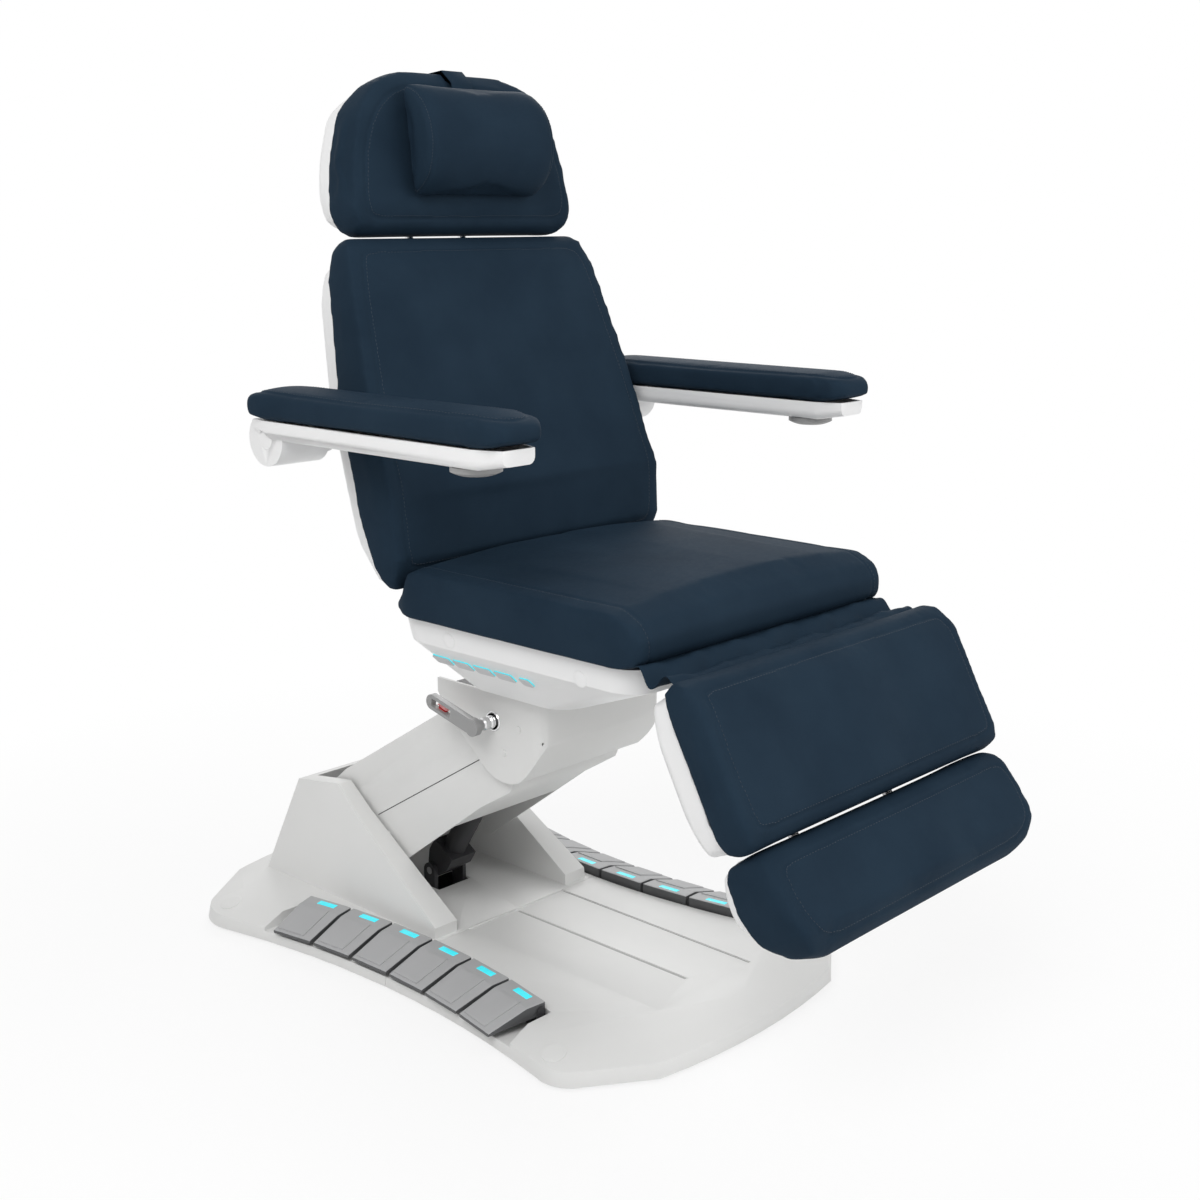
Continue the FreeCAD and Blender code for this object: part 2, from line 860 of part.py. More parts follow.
def on_pedal_arc(obj, side, place_number):
    """Turn a piece drawn at the arc's centre to its place on the arc."""
    turn = pedal_step * (place_number - (PEDALS_A_SIDE - 1) / 2)
    half_turn = Size(180.0, "180")
    angle = half_turn - turn if side > 0 else turn
    return place(obj, (S.pedal_inner_x + S.pedal_arc_radius) * side, S.pedal_arc_y, ZERO, (0, 0, 1), angle)


def pedal_solid():
    inner = S.pedal_inner_width / 2
    outer = S.pedal_outer_width / 2
    knee_share = S.pedal_flat / S.pedal_length
    knee = inner - (inner - outer) * knee_share
    knee_top = S.pedal_height - S.pedal_flat_drop
    knee_low = S.pedal_low - (S.pedal_low - S.pedal_toe_low) * knee_share
    stations = [
        (S.pedal_arc_radius, rectangle(-inner, S.pedal_low, inner, S.pedal_height)),
        (S.pedal_arc_radius - S.pedal_flat, rectangle(-knee, knee_low, knee, knee_top)),
        (S.pedal_arc_radius - S.pedal_length, rectangle(-outer, S.pedal_toe_low, outer, S.pedal_toe_height)),
    ]
    body = loft(new_body(), "YZ_Plane", stations)
    soften(body, S.pedal_edge, lambda edge: edge.BoundBox.ZMin > S.pedal_toe_low.value + S.pedal_edge.value)
    bore = [along_y(S.pedal_pin_radius + S.run_fit, S.pedal_pitch, S.pedal_arc_radius - S.pedal_pin_inset,
                    -S.pedal_pitch / 2, S.pedal_pin_z)]
    return cut(body, *bore)


def pedals():
    for name, side in SIDES.items():
        for number in range(PEDALS_A_SIDE):
            node(f"{name}_pedal_{number + 1}", on_pedal_arc(pedal_solid(), side, number))


def disc(y, z, radius):
    """A circle as two half turns."""
    return [(y - radius, z, y, z - radius), (y + radius, z, y, z + radius)]


HALF_PITCH_SHARE = 0.5


def pedal_hinges():
    """A strip along each bay, with ribs between the switches and the pins that they carry."""
    rails = []
    pin_r = S.pedal_arc_radius - S.pedal_pin_inset
    strip_low = pin_r - S.rail_strip / 2
    rib = [
        (pin_r - S.pedal_rib_radius, S.bay_floor),
        (pin_r + S.pedal_rib_radius, S.bay_floor),
        (pin_r + S.pedal_rib_radius, S.pedal_pin_z, pin_r, S.pedal_pin_z + S.pedal_rib_radius),
        (pin_r - S.pedal_rib_radius, S.pedal_pin_z),
    ]
    strip = rectangle(strip_low, S.bay_floor, pin_r + S.pedal_rib_radius, S.bay_floor + S.pedal_rib)
    pin = disc(pin_r, S.pedal_pin_z, S.pedal_pin_radius)
    for side in SIDES.values():
        pieces = []
        for number in range(PEDALS_A_SIDE + 1):
            pieces.append(on_pedal_arc(pad(new_body(), "XZ_Plane", rib, S.pedal_rib), side,
                                       number - HALF_PITCH_SHARE))
        for number in range(PEDALS_A_SIDE):
            for profile in (strip, pin):
                pieces.append(on_pedal_arc(pad(new_body(), "XZ_Plane", profile, S.pedal_pitch), side, number))
        rails.append(fuse(*pieces))
    node("pedal_hinges", group(*rails))


# Lift arm: drawn level, y forwards as minus, about its lower pivot
def along(a, h):
    return (-a, h)


def arm_holes(width):
    """Pivot holes at both ends and the curved slots that the link pins travel in."""
    tools = []
    steep = S.lift_angle + S.lift_rise_angle
    flat = S.lift_angle - S.lift_fall_angle
    inner = S.link_rise - S.link_slot_half
    outer = S.link_rise + S.link_slot_half
    for start in (ZERO, S.lift_arm_length):
        ring = disc(-start, ZERO, S.pivot_pin_radius + S.side_gap)
        slot = [
            (-start - inner * sine(flat), inner * cosine(flat),
             -start - inner * sine(S.lift_angle), inner * cosine(S.lift_angle)),
            (-start - inner * sine(steep), inner * cosine(steep)),
            (-start - outer * sine(steep), outer * cosine(steep),
             -start - outer * sine(S.lift_angle), outer * cosine(S.lift_angle)),
            (-start - outer * sine(flat), outer * cosine(flat)),
        ]
        tools += [pad(new_body(), "YZ_Plane", shape, width) for shape in (ring, slot)]
    return tools


COVER_HEEL_SHARE = 0.15
COVER_KNEE_SHARE = 0.82
COVER_FLOOR_SHARE = 0.63
COVER_CREST_SHARE = 0.84
HALF_TURN_SHARE = math.sqrt(0.5)
LINK_WAY_SHARE = 1.5


def lift_arm_cover():
    end = S.arm_cover_end_radius
    far = S.lift_arm_length
    turn = end * HALF_TURN_SHARE
    knee = far * COVER_KNEE_SHARE
    crest = far * COVER_CREST_SHARE
    outer = [
        (ZERO, end, end, ZERO),
        (ZERO, -end),
        along(far * COVER_HEEL_SHARE, -S.arm_cover_heel),
        along(knee, -S.arm_cover_belly),
        along(far, -S.arm_cover_belly) + along(far + turn, -turn),
        along(far + end, ZERO) + along(far + turn, turn),
        along(far, end),
        along(crest, S.arm_cover_top),
        along(far * COVER_HEEL_SHARE, S.arm_cover_top),
    ]
    wall = S.arm_cover_wall
    inside = end - wall
    bend = inside * HALF_TURN_SHARE
    floor_start = far * COVER_FLOOR_SHARE
    rear = end + S.overrun
    deep = S.arm_cover_heel + S.overrun
    inner = [
        (rear, S.arm_cover_top - wall),
        along(crest, S.arm_cover_top - wall),
        along(far, inside) + along(far + bend, bend),
        along(far + inside, ZERO) + along(far + bend, -bend),
        along(far, -S.arm_cover_belly + wall),
        along(knee, -S.arm_cover_belly + wall),
        along(floor_start, -S.arm_cover_belly + wall),
        along(floor_start, -deep),
        (rear, -deep),
    ]
    body = pad(new_body(), "YZ_Plane", outer, S.arm_cover_width)
    hollow = pad(new_body(), "YZ_Plane", inner, S.arm_cover_width - wall * 2)
    reach = S.link_gap / 2 + S.link_plate + S.side_gap * 2
    link_way = box(-reach, -far - end - S.overrun, S.arm_tube_radius / 2, reach * 2,
                   end * LINK_WAY_SHARE + S.overrun, end)
    node("lift_arm_cover", on_arm(cut(body, hollow, link_way, *arm_holes(S.arm_cover_width + S.overrun))))


def lift_arm_frame():
    """Two side plates joined by sleeves at the pivots and a pin for the motor's rod."""
    half = S.arm_plate_depth / 2
    far = S.lift_arm_length
    profile = [
        (ZERO, half, half, ZERO),
        (ZERO, -half),
        along(far, -half) + along(far + half, ZERO),
        along(far, half),
    ]
    pieces = []
    for side in SIDES.values():
        middle = (S.arm_plate_gap + S.arm_plate) / 2 * side
        pieces.append(pad(new_body(), "YZ_Plane", profile, S.arm_plate, offset=middle))
    width = S.arm_plate_gap + S.arm_plate * 2
    for start in (ZERO, far):
        pieces.append(pad(new_body(), "YZ_Plane", disc(-start, ZERO, S.arm_tube_radius), width))
    eye = disc(-S.motor_eye_along, -S.motor_eye_drop, S.motor_pin_radius)
    pieces.append(pad(new_body(), "YZ_Plane", eye, width))
    bores = [pad(new_body(), "YZ_Plane", disc(-start, ZERO, S.pivot_pin_radius + S.run_fit),
                 width + S.overrun)
             for start in (ZERO, far)]
    node("lift_arm_frame", on_arm(cut(fuse(*pieces), *bores)))


def levelling_link():
    """Two flat bars with an eye at each end; the upper eyes run free of the column's pin."""
    half = S.link_depth / 2
    far = S.lift_arm_length
    profile = [
        (ZERO, half, half, ZERO),
        (ZERO, -half),
        along(far, -half) + along(far + half, ZERO),
        along(far, half),
    ]
    bars = []
    for side in SIDES.values():
        middle = (S.link_gap + S.link_plate) / 2 * side
        bar = pad(new_body(), "YZ_Plane", profile, S.link_plate, offset=middle)
        pocket(bar, "YZ_Plane", disc(ZERO, ZERO, S.link_pin_radius + S.run_fit), S.arm_cover_width)
        pocket(bar, "YZ_Plane", disc(-far, ZERO, S.link_pin_radius + S.touch_gap), S.arm_cover_width)
        bars.append(place(bar, ZERO, pivot_y, pivot_z + S.link_rise, angle=-S.lift_angle))
    node("levelling_link", group(*bars))


# Lift motor: stands between the base and the arm
eye_ahead = S.motor_eye_along * cosine(S.lift_angle) + S.motor_eye_drop * sine(S.lift_angle)
eye_rise = S.motor_eye_along * sine(S.lift_angle) - S.motor_eye_drop * cosine(S.lift_angle)
motor_lean = eye_ahead - S.motor_foot_ahead
motor_climb = eye_rise + pivot_z - S.motor_foot_z
motor_reach = distance(motor_lean, motor_climb)


def on_motor(obj):
    return place(obj, ZERO, pivot_y - S.motor_foot_ahead, S.motor_foot_z,
                 angle=direction(motor_lean, motor_climb))


def lift_motor():
    eye = S.motor_eye_radius
    gear = [
        (-eye, ZERO, ZERO, -eye),
        (eye, ZERO),
        (S.motor_box / 2, S.motor_box / 2),
        (S.motor_box / 2, S.motor_box),
        (-S.motor_box / 2, S.motor_box),
        (-S.motor_box / 2, S.motor_box / 2),
    ]
    box_width = S.motor_lug_gap - S.side_gap * 2
    housing = pad(new_body(), "YZ_Plane", gear, box_width)
    tube = upright(S.motor_tube_radius, S.motor_tube_length - S.motor_box / 2, ZERO, ZERO, S.motor_box / 2)
    bore = upright(S.motor_rod_radius + S.run_fit, S.motor_tube_length, ZERO, ZERO, S.motor_box)
    pin = rod(S.motor_pin_radius + S.run_fit, S.motor_lug_gap, -S.motor_lug_gap / 2, ZERO, ZERO)
    node("lift_motor", on_motor(cut(fuse(housing, tube), bore, pin)))


def lift_rod():
    """The motor's rod, with a fork that stops short of the arm's pin."""
    top = motor_reach - S.motor_pin_radius - S.motor_eye_play
    low = S.motor_box + S.overrun * 3
    shaft = upright(S.motor_rod_radius, top - low, ZERO, ZERO, low)
    head = upright(S.motor_eye_radius, S.motor_eye_radius, ZERO, ZERO, top - S.motor_eye_radius)
    node("lift_rod", on_motor(fuse(shaft, head)))


# Column
def at_column(y, z):
    return (column_y + y, column_z + z)


COLUMN_CHIN_SHARE = 0.61
COLUMN_HEEL_SHARE = 0.05
COLUMN_BACK_SHARE = 0.73
COLUMN_FALL_SHARE = 0.30
CHEEK_FRONT_SHARE = 0.72
CHEEK_BACK_SHARE = 0.62
CHIN_RUN_SHARE = 1.6
CHIN_SAG_SHARE = 1.3
CHIN_FALL_SHARE = 3


def column_cover():
    front = S.column_front
    drop = S.column_drop
    rise = S.column_rise
    back = S.column_back
    wall = S.column_wall
    brow = rise * COLUMN_FALL_SHARE
    chin = front * COLUMN_CHIN_SHARE
    heel = front * COLUMN_HEEL_SHARE
    chin_z = drop * CORNER_SHARE * CHIN_FALL_SHARE
    run = drop * CORNER_SHARE * CHIN_RUN_SHARE
    sag = -drop * CORNER_SHARE * CHIN_SAG_SHARE
    outer = [
        at_column(-front, rise),
        at_column(-front, brow) + at_column(-front + run, sag),
        at_column(-chin, -chin_z) + at_column(-(chin + heel) / 2, -drop),
        at_column(-heel, -drop * COLUMN_BACK_SHARE),
        at_column(back * COLUMN_BACK_SHARE, brow),
        at_column(back, rise * COLUMN_BACK_SHARE),
        at_column(back, rise),
    ]
    inner = [
        at_column(-front + wall, rise + S.overrun),
        at_column(-front + wall, brow) + at_column(-front + wall + run, sag + wall),
        at_column(-chin + wall, -chin_z + wall),
        at_column(-chin + wall, -drop - S.overrun),
        at_column(back + S.overrun, -drop - S.overrun),
        at_column(back + S.overrun, rise + S.overrun),
    ]
    body = pad(new_body(), "YZ_Plane", outer, S.column_width)
    soften(body, S.column_corner, lambda edge: upright_front_edge(edge))
    hollow = pad(new_body(), "YZ_Plane", inner, S.column_width - wall * 2)
    socket = rod(S.lever_socket_radius, S.column_wall + S.overrun, -S.column_width / 2 - S.overrun,
                 *at_column(-S.lever_ahead, S.lever_rise))
    node("column_cover", cut(body, hollow, socket))


def upright_front_edge(edge):
    """True for the two upright edges at the column's front."""
    flat_y = edge.BoundBox.YLength < S.touch_gap.value
    front = abs(edge.BoundBox.YMin - (column_y - S.column_front).value) < S.side_gap.value
    return flat_y and front and edge.BoundBox.XLength < S.touch_gap.value


def column_frame():
    rise = S.column_rise
    boss = S.pivot_boss_radius
    top = rise - S.column_top_plate / 2
    cheek = [
        at_column(-S.column_front * CHEEK_FRONT_SHARE, top),
        at_column(-boss, ZERO) + at_column(ZERO, -boss),
        at_column(boss, ZERO),
        at_column(S.column_back * CHEEK_BACK_SHARE, top),
    ]
    inside = S.column_width - S.column_wall * 2
    pieces = []
    for side in SIDES.values():
        middle = (inside / 2 - S.column_plate / 2 - S.side_gap) * side
        pieces.append(pad(new_body(), "YZ_Plane", cheek, S.column_plate, offset=middle))
    front = S.column_front * CHEEK_FRONT_SHARE
    back = S.column_back * CHEEK_BACK_SHARE
    width = inside - S.side_gap * 2
    pieces.append(box(-width / 2, column_y - front, column_top - S.column_top_plate, width, front + back,
                      S.column_top_plate))
    span = S.column_width
    bores = [
        rod(S.pivot_pin_radius, span, -span / 2, column_y, column_z),
        rod(S.link_pin_radius, span, -span / 2, column_y, column_z + S.link_rise),
        rod(S.lever_stem_radius + S.run_fit, span / 2, -span / 2, *at_column(-S.lever_ahead, S.lever_rise)),
    ]
    node("column_frame", cut(fuse(*pieces), *bores))


def column_pivot_pins():
    span = S.column_width - S.column_wall * 2 - S.side_gap * 2
    node("column_pivot_pins", group(
        rod(S.pivot_pin_radius, span, -span / 2, column_y, column_z),
        rod(S.link_pin_radius, span, -span / 2, column_y, column_z + S.link_rise),
    ))


def swivel_bearing():
    ring = upright(S.bearing_radius, S.bearing_height, ZERO, S.swivel_y, column_top)
    bore = upright(S.bearing_bore, S.bearing_height + S.overrun, ZERO, S.swivel_y, column_top - S.overrun / 2)
    node("swivel_bearing", cut(ring, bore))


LEVER_SLOT_SHARE = 0.42


def lock_lever():
    """Flat handle with a long slot, on a stem that turns in the column's cheek."""
    inside = S.column_width / 2 - S.column_wall - S.side_gap - S.column_plate
    stem = rod(S.lever_stem_radius, S.column_width / 2 - inside + S.lever_stem_out,
               -S.column_width / 2 - S.lever_stem_out, ZERO, ZERO)
    collar = rod(S.lever_collar_radius, S.lever_thickness, -S.column_width / 2 - S.lever_stem_out, ZERO, ZERO)
    half = S.lever_width / 2
    length = S.lever_length
    handle = [
        (ZERO, half, -half, ZERO),
        (ZERO, -half),
        (length - half, -half, length, ZERO),
        (length - half, half),
    ]
    middle = -S.column_width / 2 - S.lever_stem_out + S.lever_thickness / 2
    grip = pad(new_body(), "YZ_Plane", handle, S.lever_thickness, offset=middle)
    slot = rectangle(length - half - length * LEVER_SLOT_SHARE, -half / 2, length - half, half / 2)
    pocket(grip, "YZ_Plane", slot, S.column_width * 2)
    lever = fuse(stem, collar, grip)
    node("lock_lever", place(lever, ZERO, *at_column(-S.lever_ahead, S.lever_rise), angle=S.lever_pitch))


# Seat
pan_rear = S.pan_rear_y
band_z = pan_top - S.pan_band
band_half = S.pan_width / 2 - S.pan_band_draft
bottom_half = S.pan_bottom_width / 2


def pan_block(inset, top):
    """The seat pan's form: an upright band over a bowl, drawn in by an inset."""
    corner = S.pan_corner - inset
    draft = S.pan_band_draft + inset
    stations = [
        (top, rounded(S.pan_width / 2 - inset, pan_rear - inset, pan_front_y + inset, corner)),
        (band_z, rounded(S.pan_width / 2 - draft, pan_rear - draft, pan_front_y + draft, corner)),
        (pan_bottom + inset, rounded(bottom_half - inset, pan_rear - S.pan_bottom_rear - inset,
                                     pan_front_y + S.pan_bottom_front + inset, corner)),
    ]
    return loft(new_body(), "XY_Plane", stations)


button_share = S.button_drop / (S.pan_depth - S.pan_band)
button_x = -(band_half - (band_half - bottom_half) * button_share)
button_z = band_z - S.button_drop
button_turn = direction(-(S.pan_depth - S.pan_band), -(band_half - bottom_half))
BUTTONS = ["preset_button_1", "preset_button_2", "preset_button_3", "preset_button_4", "power_button"]


def button_block(width, number, grow, start, length):
    """A key square to the bowl's side, starting below or above the surface."""
    x = button_x + sine(button_turn) * start
    z = button_z + cosine(button_turn) * start
    half = width / 2 + grow
    plan = rounded(S.button_height / 2 + grow, half, -half, S.button_corner + grow)
    key = pad(new_body(), "XY_Plane", plan, length, middle=False)
    return place(key, x, S.button_row_y - S.button_pitch * number, z, (0, 1, 0), button_turn)


def button_sizes():
    for number, name in enumerate(BUTTONS):
        yield number, name, S.power_button_width if name == "power_button" else S.button_width


def buttons():
    """Each button has a lip behind the pan's wall that keeps it in."""
    low = S.button_proud - S.button_length
    for number, name, width in button_sizes():
        cap = button_block(width, number, ZERO, low, S.button_length)
        lip = button_block(width, number, S.button_lip, low, S.button_lip)
        node(name, fuse(cap, lip))


def crank_window(side):
    """The gap in the pan that a crank and its rod pass through."""
    width = S.rod_head * 2
    reach = S.pan_depth * 2
    rear = side > 0
    low_y = pan_rear - S.overrun * 2 if rear else pan_front_y - S.overrun
    depth = S.overrun * 4 if rear else S.seat_motor_length
    low_z = (back_z - S.back_rod_drop if rear else leg_z - S.leg_rod_drop) - S.rod_head * 2
    middle = S.seat_motor_x * side - S.rod_head / 4
    return box(middle - width / 2, low_y, low_z, width, depth, reach)


def ear_notches():
    for span, low_y in ((S.back_ear_span, pan_rear - S.overrun), (S.leg_ear_span, pan_front_y - S.overrun)):
        for side in SIDES.values():
            middle = span / 2 * side
            half = S.ear_plate / 2 + S.side_gap
            yield box(middle - half, low_y, pan_top - S.ear_depth * 2, half * 2, S.overrun * 2, S.pan_depth)


def seat_pan():
    holes = [button_block(width, number, S.button_clearance, -S.overrun, S.overrun * 2)
             for number, name, width in button_sizes()]
    hub = upright(S.hub_flange_radius + S.side_gap, S.overrun * 2, ZERO, S.swivel_y, pan_bottom - S.overrun)
    windows = [crank_window(side) for side in SIDES.values()]
    hollow = pan_block(S.pan_wall, pan_top + S.overrun)
    node("seat_pan", cut(pan_block(ZERO, pan_top), hollow, hub, *holes, *windows, *ear_notches()))


def stub_pins(span, y, z):
    """Pins that stand out of a pair of ears, away from the middle."""
    length = S.ear_plate + S.crank_plate + S.side_gap * 3
    for side in SIDES.values():
        low = span / 2 - S.ear_plate / 2
        start = low if side > 0 else -low - length
        yield rod(S.hinge_pin_radius, length, start, y, z)


def seat_frame():
    plate_top = pan_top - S.seat_plate_drop
    plate_low = plate_top - S.seat_plate
    flange_low = column_top + S.bearing_height + S.touch_gap
    spigot_low = column_top + S.side_gap
    post_low = flange_low + S.hub_flange
    rear_edge = pan_rear - S.seat_plate_inset
    front_edge = pan_front_y + S.seat_plate_inset
    pieces = [
        upright(S.bearing_bore - S.run_fit, flange_low - spigot_low, ZERO, S.swivel_y, spigot_low),
        upright(S.hub_flange_radius, S.hub_flange, ZERO, S.swivel_y, flange_low),
        box(-S.seat_post / 2, S.swivel_y - S.seat_post / 2, post_low, S.seat_post, S.seat_post,
            plate_low - post_low),
        box(-S.seat_plate_width / 2, front_edge, plate_low, S.seat_plate_width, rear_edge - front_edge,
            S.seat_plate),
    ]
    ear = S.ear_radius
    low = pan_top - S.seat_plate_drop - S.ear_depth
    rear_ear = [
        (rear_edge - S.ear_depth, low),
        (back_y + ear, low),
        (back_y + ear, back_z, back_y, back_z + ear),
        (back_y - ear, back_z),
        (back_y - ear, plate_top),
        (rear_edge - S.ear_depth, plate_top),
    ]
    tip = ear - S.side_gap
    front_ear = [
        (front_edge + S.ear_depth, leg_z - tip),
        (front_edge + S.ear_depth, leg_z + tip),
        (leg_y, leg_z + tip, leg_y - tip, leg_z),
        (leg_y, leg_z - tip),
    ]
    for span, profile in ((S.back_ear_span, rear_ear), (S.leg_ear_span, front_ear)):
        for side in SIDES.values():
            pieces.append(pad(new_body(), "YZ_Plane", profile, S.ear_plate, offset=span / 2 * side))
    pieces += stub_pins(S.back_ear_span, back_y, back_z)
    pieces += stub_pins(S.leg_ear_span, leg_y, leg_z)
    node("seat_frame", fuse(*pieces))


back_rod_y = back_y + S.back_rod_drop * sine(S.back_crank_lean) / cosine(S.back_crank_lean)
back_rod_z = back_z - S.back_rod_drop
leg_rod_y = leg_y + S.leg_rod_drop * sine(S.leg_crank_lean) / cosine(S.leg_crank_lean)
leg_rod_z = leg_z - S.leg_rod_drop
MOTOR_BACK_SHARE = 0.52
MOTOR_FRONT_SHARE = 0.70
SEAT_ROD_SHARE = 1.2


SADDLE_SHARES = (0.1, 0.75)


def motor_start(side):
    """Where a seat motor's tube starts: the back's on the left, the leg's on the right."""
    if side > 0:
        return back_rod_y - S.seat_motor_length * (1 + MOTOR_BACK_SHARE)
    return leg_rod_y + S.seat_motor_length * MOTOR_FRONT_SHARE


def motor_saddles(side, height, plate_low):
    """Two blocks that hang a motor's tube from the seat's plate."""
    radius = S.seat_motor_radius
    for share in SADDLE_SHARES:
        low = motor_start(side) + S.seat_motor_length * share
        yield box(S.seat_motor_x * side - radius, low, height, radius * 2, radius, plate_low - height)


def motor_tube(side):
    """One seat motor's tube, lying fore and aft."""
    height = back_rod_z if side > 0 else leg_rod_z
    return along_y(S.seat_motor_radius, S.seat_motor_length, S.seat_motor_x * side, motor_start(side), height)


def seat_motors():
    tubes = []
    for side in SIDES.values():
        tube = motor_tube(side)
        height = back_rod_z if side > 0 else leg_rod_z
        bore = along_y(S.seat_rod_radius + S.run_fit, S.pan_length * 2, S.seat_motor_x * side,
                       pan_front_y - S.pan_length / 2, height)
        low = pan_top - S.seat_plate_drop - S.seat_plate
        tubes.append(cut(fuse(tube, *motor_saddles(side, height, low)), bore))
    node("seat_motors", group(*tubes))


def seat_rod(label, side, head_y, head_z, inward):
    """A motor's rod, with a head and a cross pin that runs in the crank's slot."""
    length = S.seat_motor_length * SEAT_ROD_SHARE
    x = S.seat_motor_x * side
    start = head_y - length if inward < 0 else head_y
    shaft = along_y(S.seat_rod_radius, length, x, start, head_z)
    half = S.rod_head / 2
    head = box(x - half, head_y - half, head_z - half, S.rod_head, S.rod_head, S.rod_head)
    pin_length = half + S.crank_plate + S.side_gap * 3
    pin = rod(S.rod_pin_radius, pin_length, x - pin_length, head_y, head_z)
    node(label, fuse(shaft, head, pin))


def crank(y, z, lean, rod_drop, side):
    """A slotted crank that hangs below a hinge, beside its rod."""
    half = S.crank_width / 2
    slot_end = rod_drop / cosine(lean) + S.crank_slot / 2
    profile = [
        (-half, ZERO, ZERO, half),
        (half, ZERO),
        (half, -slot_end, ZERO, -slot_end - half),
        (-half, -slot_end),
    ]
    slot = S.crank_slot / 2
    window = rectangle(-slot, -slot_end, slot, -rod_drop + slot)
    middle = crank_x(side)
    plate = pad(new_body(), "YZ_Plane", profile, S.crank_plate, offset=middle)
    opening = pad(new_body(), "YZ_Plane", window, S.crank_plate * 2, offset=middle)
    return place(cut(plate, opening), ZERO, y, z, angle=lean)


def crank_x(side):
    """The middle of the crank plate, on the inner or right face of the rod's head."""
    return S.seat_motor_x * side - S.rod_head / 2 - S.side_gap - S.crank_plate / 2


SEAT_STATION_SHARES = [
    (0.000, 0.955, 0.12, 0.28, 0.10),
    (0.037, 0.975, 0.02, 0.47, 0.30),
    (0.052, 0.985, 0.00, 0.66, 0.45),
    (0.079, 0.995, 0.00, 0.93, 0.60),
    (0.120, 1.000, 0.00, 0.98, 0.80),
    (0.500, 1.000, 0.00, 1.00, 1.00),
    (0.900, 1.000, 0.00, 0.98, 0.95),
    (0.972, 0.985, 0.06, 0.80, 0.55),
    (1.000, 0.955, 0.24, 0.56, 0.10),
]
CUSHION_BULGE_SHARE = 0.045


def seat_cushion():
    """Stations run from the rear to the front: place, width, underside, seam and crown shares."""
    rear = S.seat_front_y + S.seat_length
    base = pan_top + S.touch_gap
    stations = []
    for spot_share, width_share, low_share, high_share, crown_share in SEAT_STATION_SHARES:
        half = S.seat_width / 2 * width_share
        low = base + S.seat_height * low_share
        high = base + S.seat_height * high_share
        bulge = (high - low) * CUSHION_BULGE_SHARE
        section = pillow_section(half, low, high, S.seat_crown * crown_share, bulge)
        stations.append((S.seat_length * spot_share - rear, section))
    node("seat_cushion", loft(new_body(), "XZ_Plane", stations))


# Backrest, in its own frame: y rearwards, z up the back, about its hinge
BACK_STATION_SHARES = [
    (0.025, 0.945, 0.26, 0.38, 0.2),
    (0.050, 0.975, 0.17, 0.50, 0.4),
    (0.098, 0.994, 0.09, 0.73, 0.8),
    (0.257, 1.000, 0.06, 0.98, 1.0),
    (0.566, 0.968, 0.11, 1.00, 1.0),
    (0.907, 0.885, 0.30, 0.98, 1.0),
    (0.985, 0.845, 0.40, 0.90, 0.6),
    (1.012, 0.800, 0.52, 0.78, 0.2),
]


def upholstery(table, height, width, depth, crown, start=ZERO, back=ZERO):
    """A cushion that stands up: stations give height, width, rear, front and crown shares."""
    stations = []
    for spot_share, width_share, rear_share, front_share, crown_share in table:
        half = width / 2 * width_share
        rear = -(back + depth * rear_share)
        front = -(back + depth * front_share)
        bulge = (rear - front) * CUSHION_BULGE_SHARE
        section = pillow_section(half, rear, front, -crown * crown_share, bulge)
        stations.append((start + height * spot_share, section))
    return loft(new_body(), "XY_Plane", stations)


def back_cushion():
    solid = upholstery(BACK_STATION_SHARES, S.back_height, S.back_width, S.back_depth, S.back_crown)
    node("back_cushion", on_back(solid))


BACK_SHELL_STATION_SHARES = [
    (0.045, 0.900, -0.10, 0.62),
    (0.200, 0.955, 0.00, 0.97),
    (0.566, 0.930, -0.10, 0.94),
    (0.900, 0.850, -0.28, 0.60),
    (0.985, 0.790, -0.39, 0.20),
]


def shell_block(table, height, width, rim_depth, back_depth, wall, start=ZERO, rim=ZERO, turned=1):
    """A shell's form. Stations give place, width, rim and back shares; a wall draws it in."""
    stations = []
    last = len(table) - 1
    for index, (spot_share, width_share, rim_share, back_share) in enumerate(table):
        half = width / 2 * width_share - wall
        end_wall = wall * ((1 if index == 0 else 0) - (1 if index == last else 0))
        rim_line = rim + rim_depth * rim_share
        back_line = rim + back_depth * back_share - wall * turned
        section = shell_section(half, rim_line, back_line, turned)
        stations.append((start + height * spot_share + end_wall, section))
    return stations


def back_shell():
    outer = shell_block(BACK_SHELL_STATION_SHARES, S.back_height, S.back_width, S.back_depth,
                        S.back_shell_depth, ZERO)
    inner = shell_block(BACK_SHELL_STATION_SHARES, S.back_height, S.back_width, S.back_depth,
                        S.back_shell_depth,
                        S.back_shell_wall)
    body = loft(new_body(), "XY_Plane", outer)
    loft(body, "XY_Plane", inner, kind="Subtractive")
    span = S.back_width + S.overrun
    shaft = rod(S.arm_shaft_radius + S.side_gap, span, -span / 2, S.arm_shaft_n, S.arm_shaft_u)
    openings = [shaft]
    for side in SIDES.values():
        openings.append(upright(S.stem_radius + S.side_gap, S.back_height, S.stem_spacing / 2 * side,
                                S.stem_n, S.back_height / 2))
    for x in back_lug_places():
        room = S.crank_plate / 2 + S.side_gap
        openings.append(box(x - room, -S.back_depth, ZERO, room * 2, S.back_depth * 2,
                            S.back_height * PLATE_START_SHARE * 2))
    node("back_shell", on_back(cut(body, *openings)))


LUG_RISE_SHARE = 0.13
SHAFT_END_SHARE = 0.75
PLATE_START_SHARE = 0.06
PLATE_END_SHARE = 0.90
BACK_SPINE_SHARE = 0.80


def arm_shaft_end():
    return S.arm_centre_x - S.arm_pad_width / 2 - S.bracket_thickness + S.side_gap * 2


def back_lug_places():
    lug_x = S.back_ear_span / 2 + S.ear_plate / 2 + S.side_gap + S.crank_plate / 2
    return (lug_x, -lug_x, crank_x(1))


